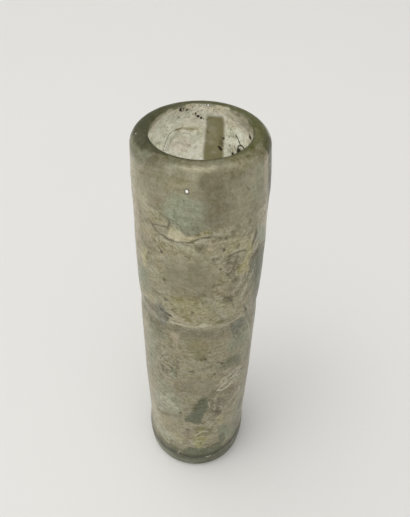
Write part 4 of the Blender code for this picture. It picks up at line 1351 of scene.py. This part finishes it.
def filmColour(glass, noises, grit, streaky):
    # the coat's own colours, a little greener or redder in places, and their grain
    colour = glass.node("Attribute", {"attribute_name": "coat"}, {}, "Color")
    greener = glass.between(noises["tint"], 0.4, 0.62)
    redder = glass.between(noises["tint"], 0.6, 0.38)
    colour = glass.blend(greener, colour, glassColours["greenish"], "MULTIPLY")
    colour = glass.blend(redder, colour, glassColours["reddish"], "MULTIPLY")

    flakes = noises["flakes"]
    contour = glass.between(glass.unsigned(flakes - 0.5), 0.016, 0.004)
    steps = glass.between(noises["layers"], 0.48, 0.52) + glass.between(flakes, 0.49, 0.52)
    unrest = ((noises["clouds"] - 0.5) * 1.1 + (noises["blots"] - 0.5) * 1.2
              + (noises["grains"] - 0.5) * 1.1 + (noises["streaks"] - 0.5) * 0.6 * streaky
              - noises["pits"] * 0.35 + noises["flecks"] * 0.3 + steps * 0.12
              - contour * 0.14 - 0.12) * grit
    # six tenths of the unrest are a change of lightness alone, and the rest keeps the hue
    lightness = glass.node("RGBToBW", {}, {0: colour}) * unrest * 0.6
    grey = glass.node("CombineXYZ", {}, {axis: lightness for axis in "XYZ"})
    colour = glass.scaled(colour, 1.0 + unrest * 0.4)
    return glass.node("VectorMath", {}, {0: colour, 1: grey})


def markMasks(glass, noises):
    # where the lines, specks and painted glints are, with frayed edges
    wander = (noises["grains"] - 0.5) * 1.0 + (noises["blots"] - 0.5) * 0.8

    def line(name):
        aside, force = painted(glass, name)[::2]
        return glass.between(glass.unsigned(aside + wander), 1.35, 0.65) * force

    def spot(name, edge, middle, ragged=0.0):
        aside, up, force = painted(glass, name)
        way = glass.node("CombineXYZ", {}, {"X": aside + ragged, "Y": up})
        distance = glass.node("VectorMath", {"operation": "LENGTH"}, {0: way}, "Value")
        return glass.between(distance, edge, middle) * force

    specks, others = (spot(name, 1.2, 0.75, wander * 0.4) for name in ("speck", "otherSpeck"))
    return {
        "darkLine": line("darkLine"),
        "paleLine": line("paleLine"),
        "speck": glass.node("Math", {"operation": "MAXIMUM"}, {0: specks, 1: others}),
        # a painted glint: its ring is painted shade and its core a painted highlight
        "ring": spot("paintedGlint", 1.6, 0.95),
        "glintCore": spot("paintedGlint", 0.72, 0.45),
    }


def glassFinish(name, finish):
    material, glass = newMaterial(name)
    drift, thick, bare = painted(glass, "zones")
    grit, streaky, strip = painted(glass, "finish")
    noises = filmNoises(glass, drift)
    masks = markMasks(glass, noises)
    clouds = noises["clouds"]
    colour = filmColour(glass, noises, grit, streaky)
    # some of the pale lines are painted highlights
    for mask, share, shade in (("paleLine", 0.85, glassColours["paleMark"]),
                               ("darkLine", 0.9, finish["markColour"]),
                               ("speck", 0.95, finish["markColour"]),
                               # the glints' ring of painted shade and core of painted highlight
                               ("ring", 0.75, glassColours["glintRingShade"]),
                               ("glintCore", 1.0, glassColours["glintCoreColour"])):
        colour = glass.blend(masks[mask] * share, colour, shade)

    height = (clouds * 0.4 + noises["blots"] * 0.4 + noises["grains"] * 0.25
              + noises["streaks"] * 0.4 - noises["pits"] * 0.3) * (1.0 - strip * 0.8)
    relief = glass.node("Bump", {}, {"Strength": 0.5, "Distance": 0.12 * mm, "Height": height})
    film = glass.node("BsdfPrincipled", {}, {
        "Base Color": colour, "Roughness": 0.42 + (clouds - 0.5) * 0.4, "IOR": 1.5,
        "Specular IOR Level": finish["gloss"], "Transmission Weight": finish["filmClear"],
        "Normal": relief})
    clear = glass.node("BsdfPrincipled", {}, {
        "Base Color": glass.blend(thick, glassColours["clear"], glassColours["thick"]),
        "Roughness": 0.14, "IOR": 1.5, "Transmission Weight": 1.0, "Normal": relief})
    marked = masks["darkLine"] + masks["speck"] + masks["ring"]
    bareness = bare + (clouds - 0.5) * 0.6 - marked * 0.6
    share = glass.node("Math", {"operation": "ADD", "use_clamp": True}, {0: bareness, 1: 0.0})
    glass.show(glass.node("MixShader", {}, {0: share, 1: film, 2: clear}))
    return material


makeCamera()
makeFloor()
makeSky()
makeLamp()
print("camera, floor and light are in place")
makeVase()
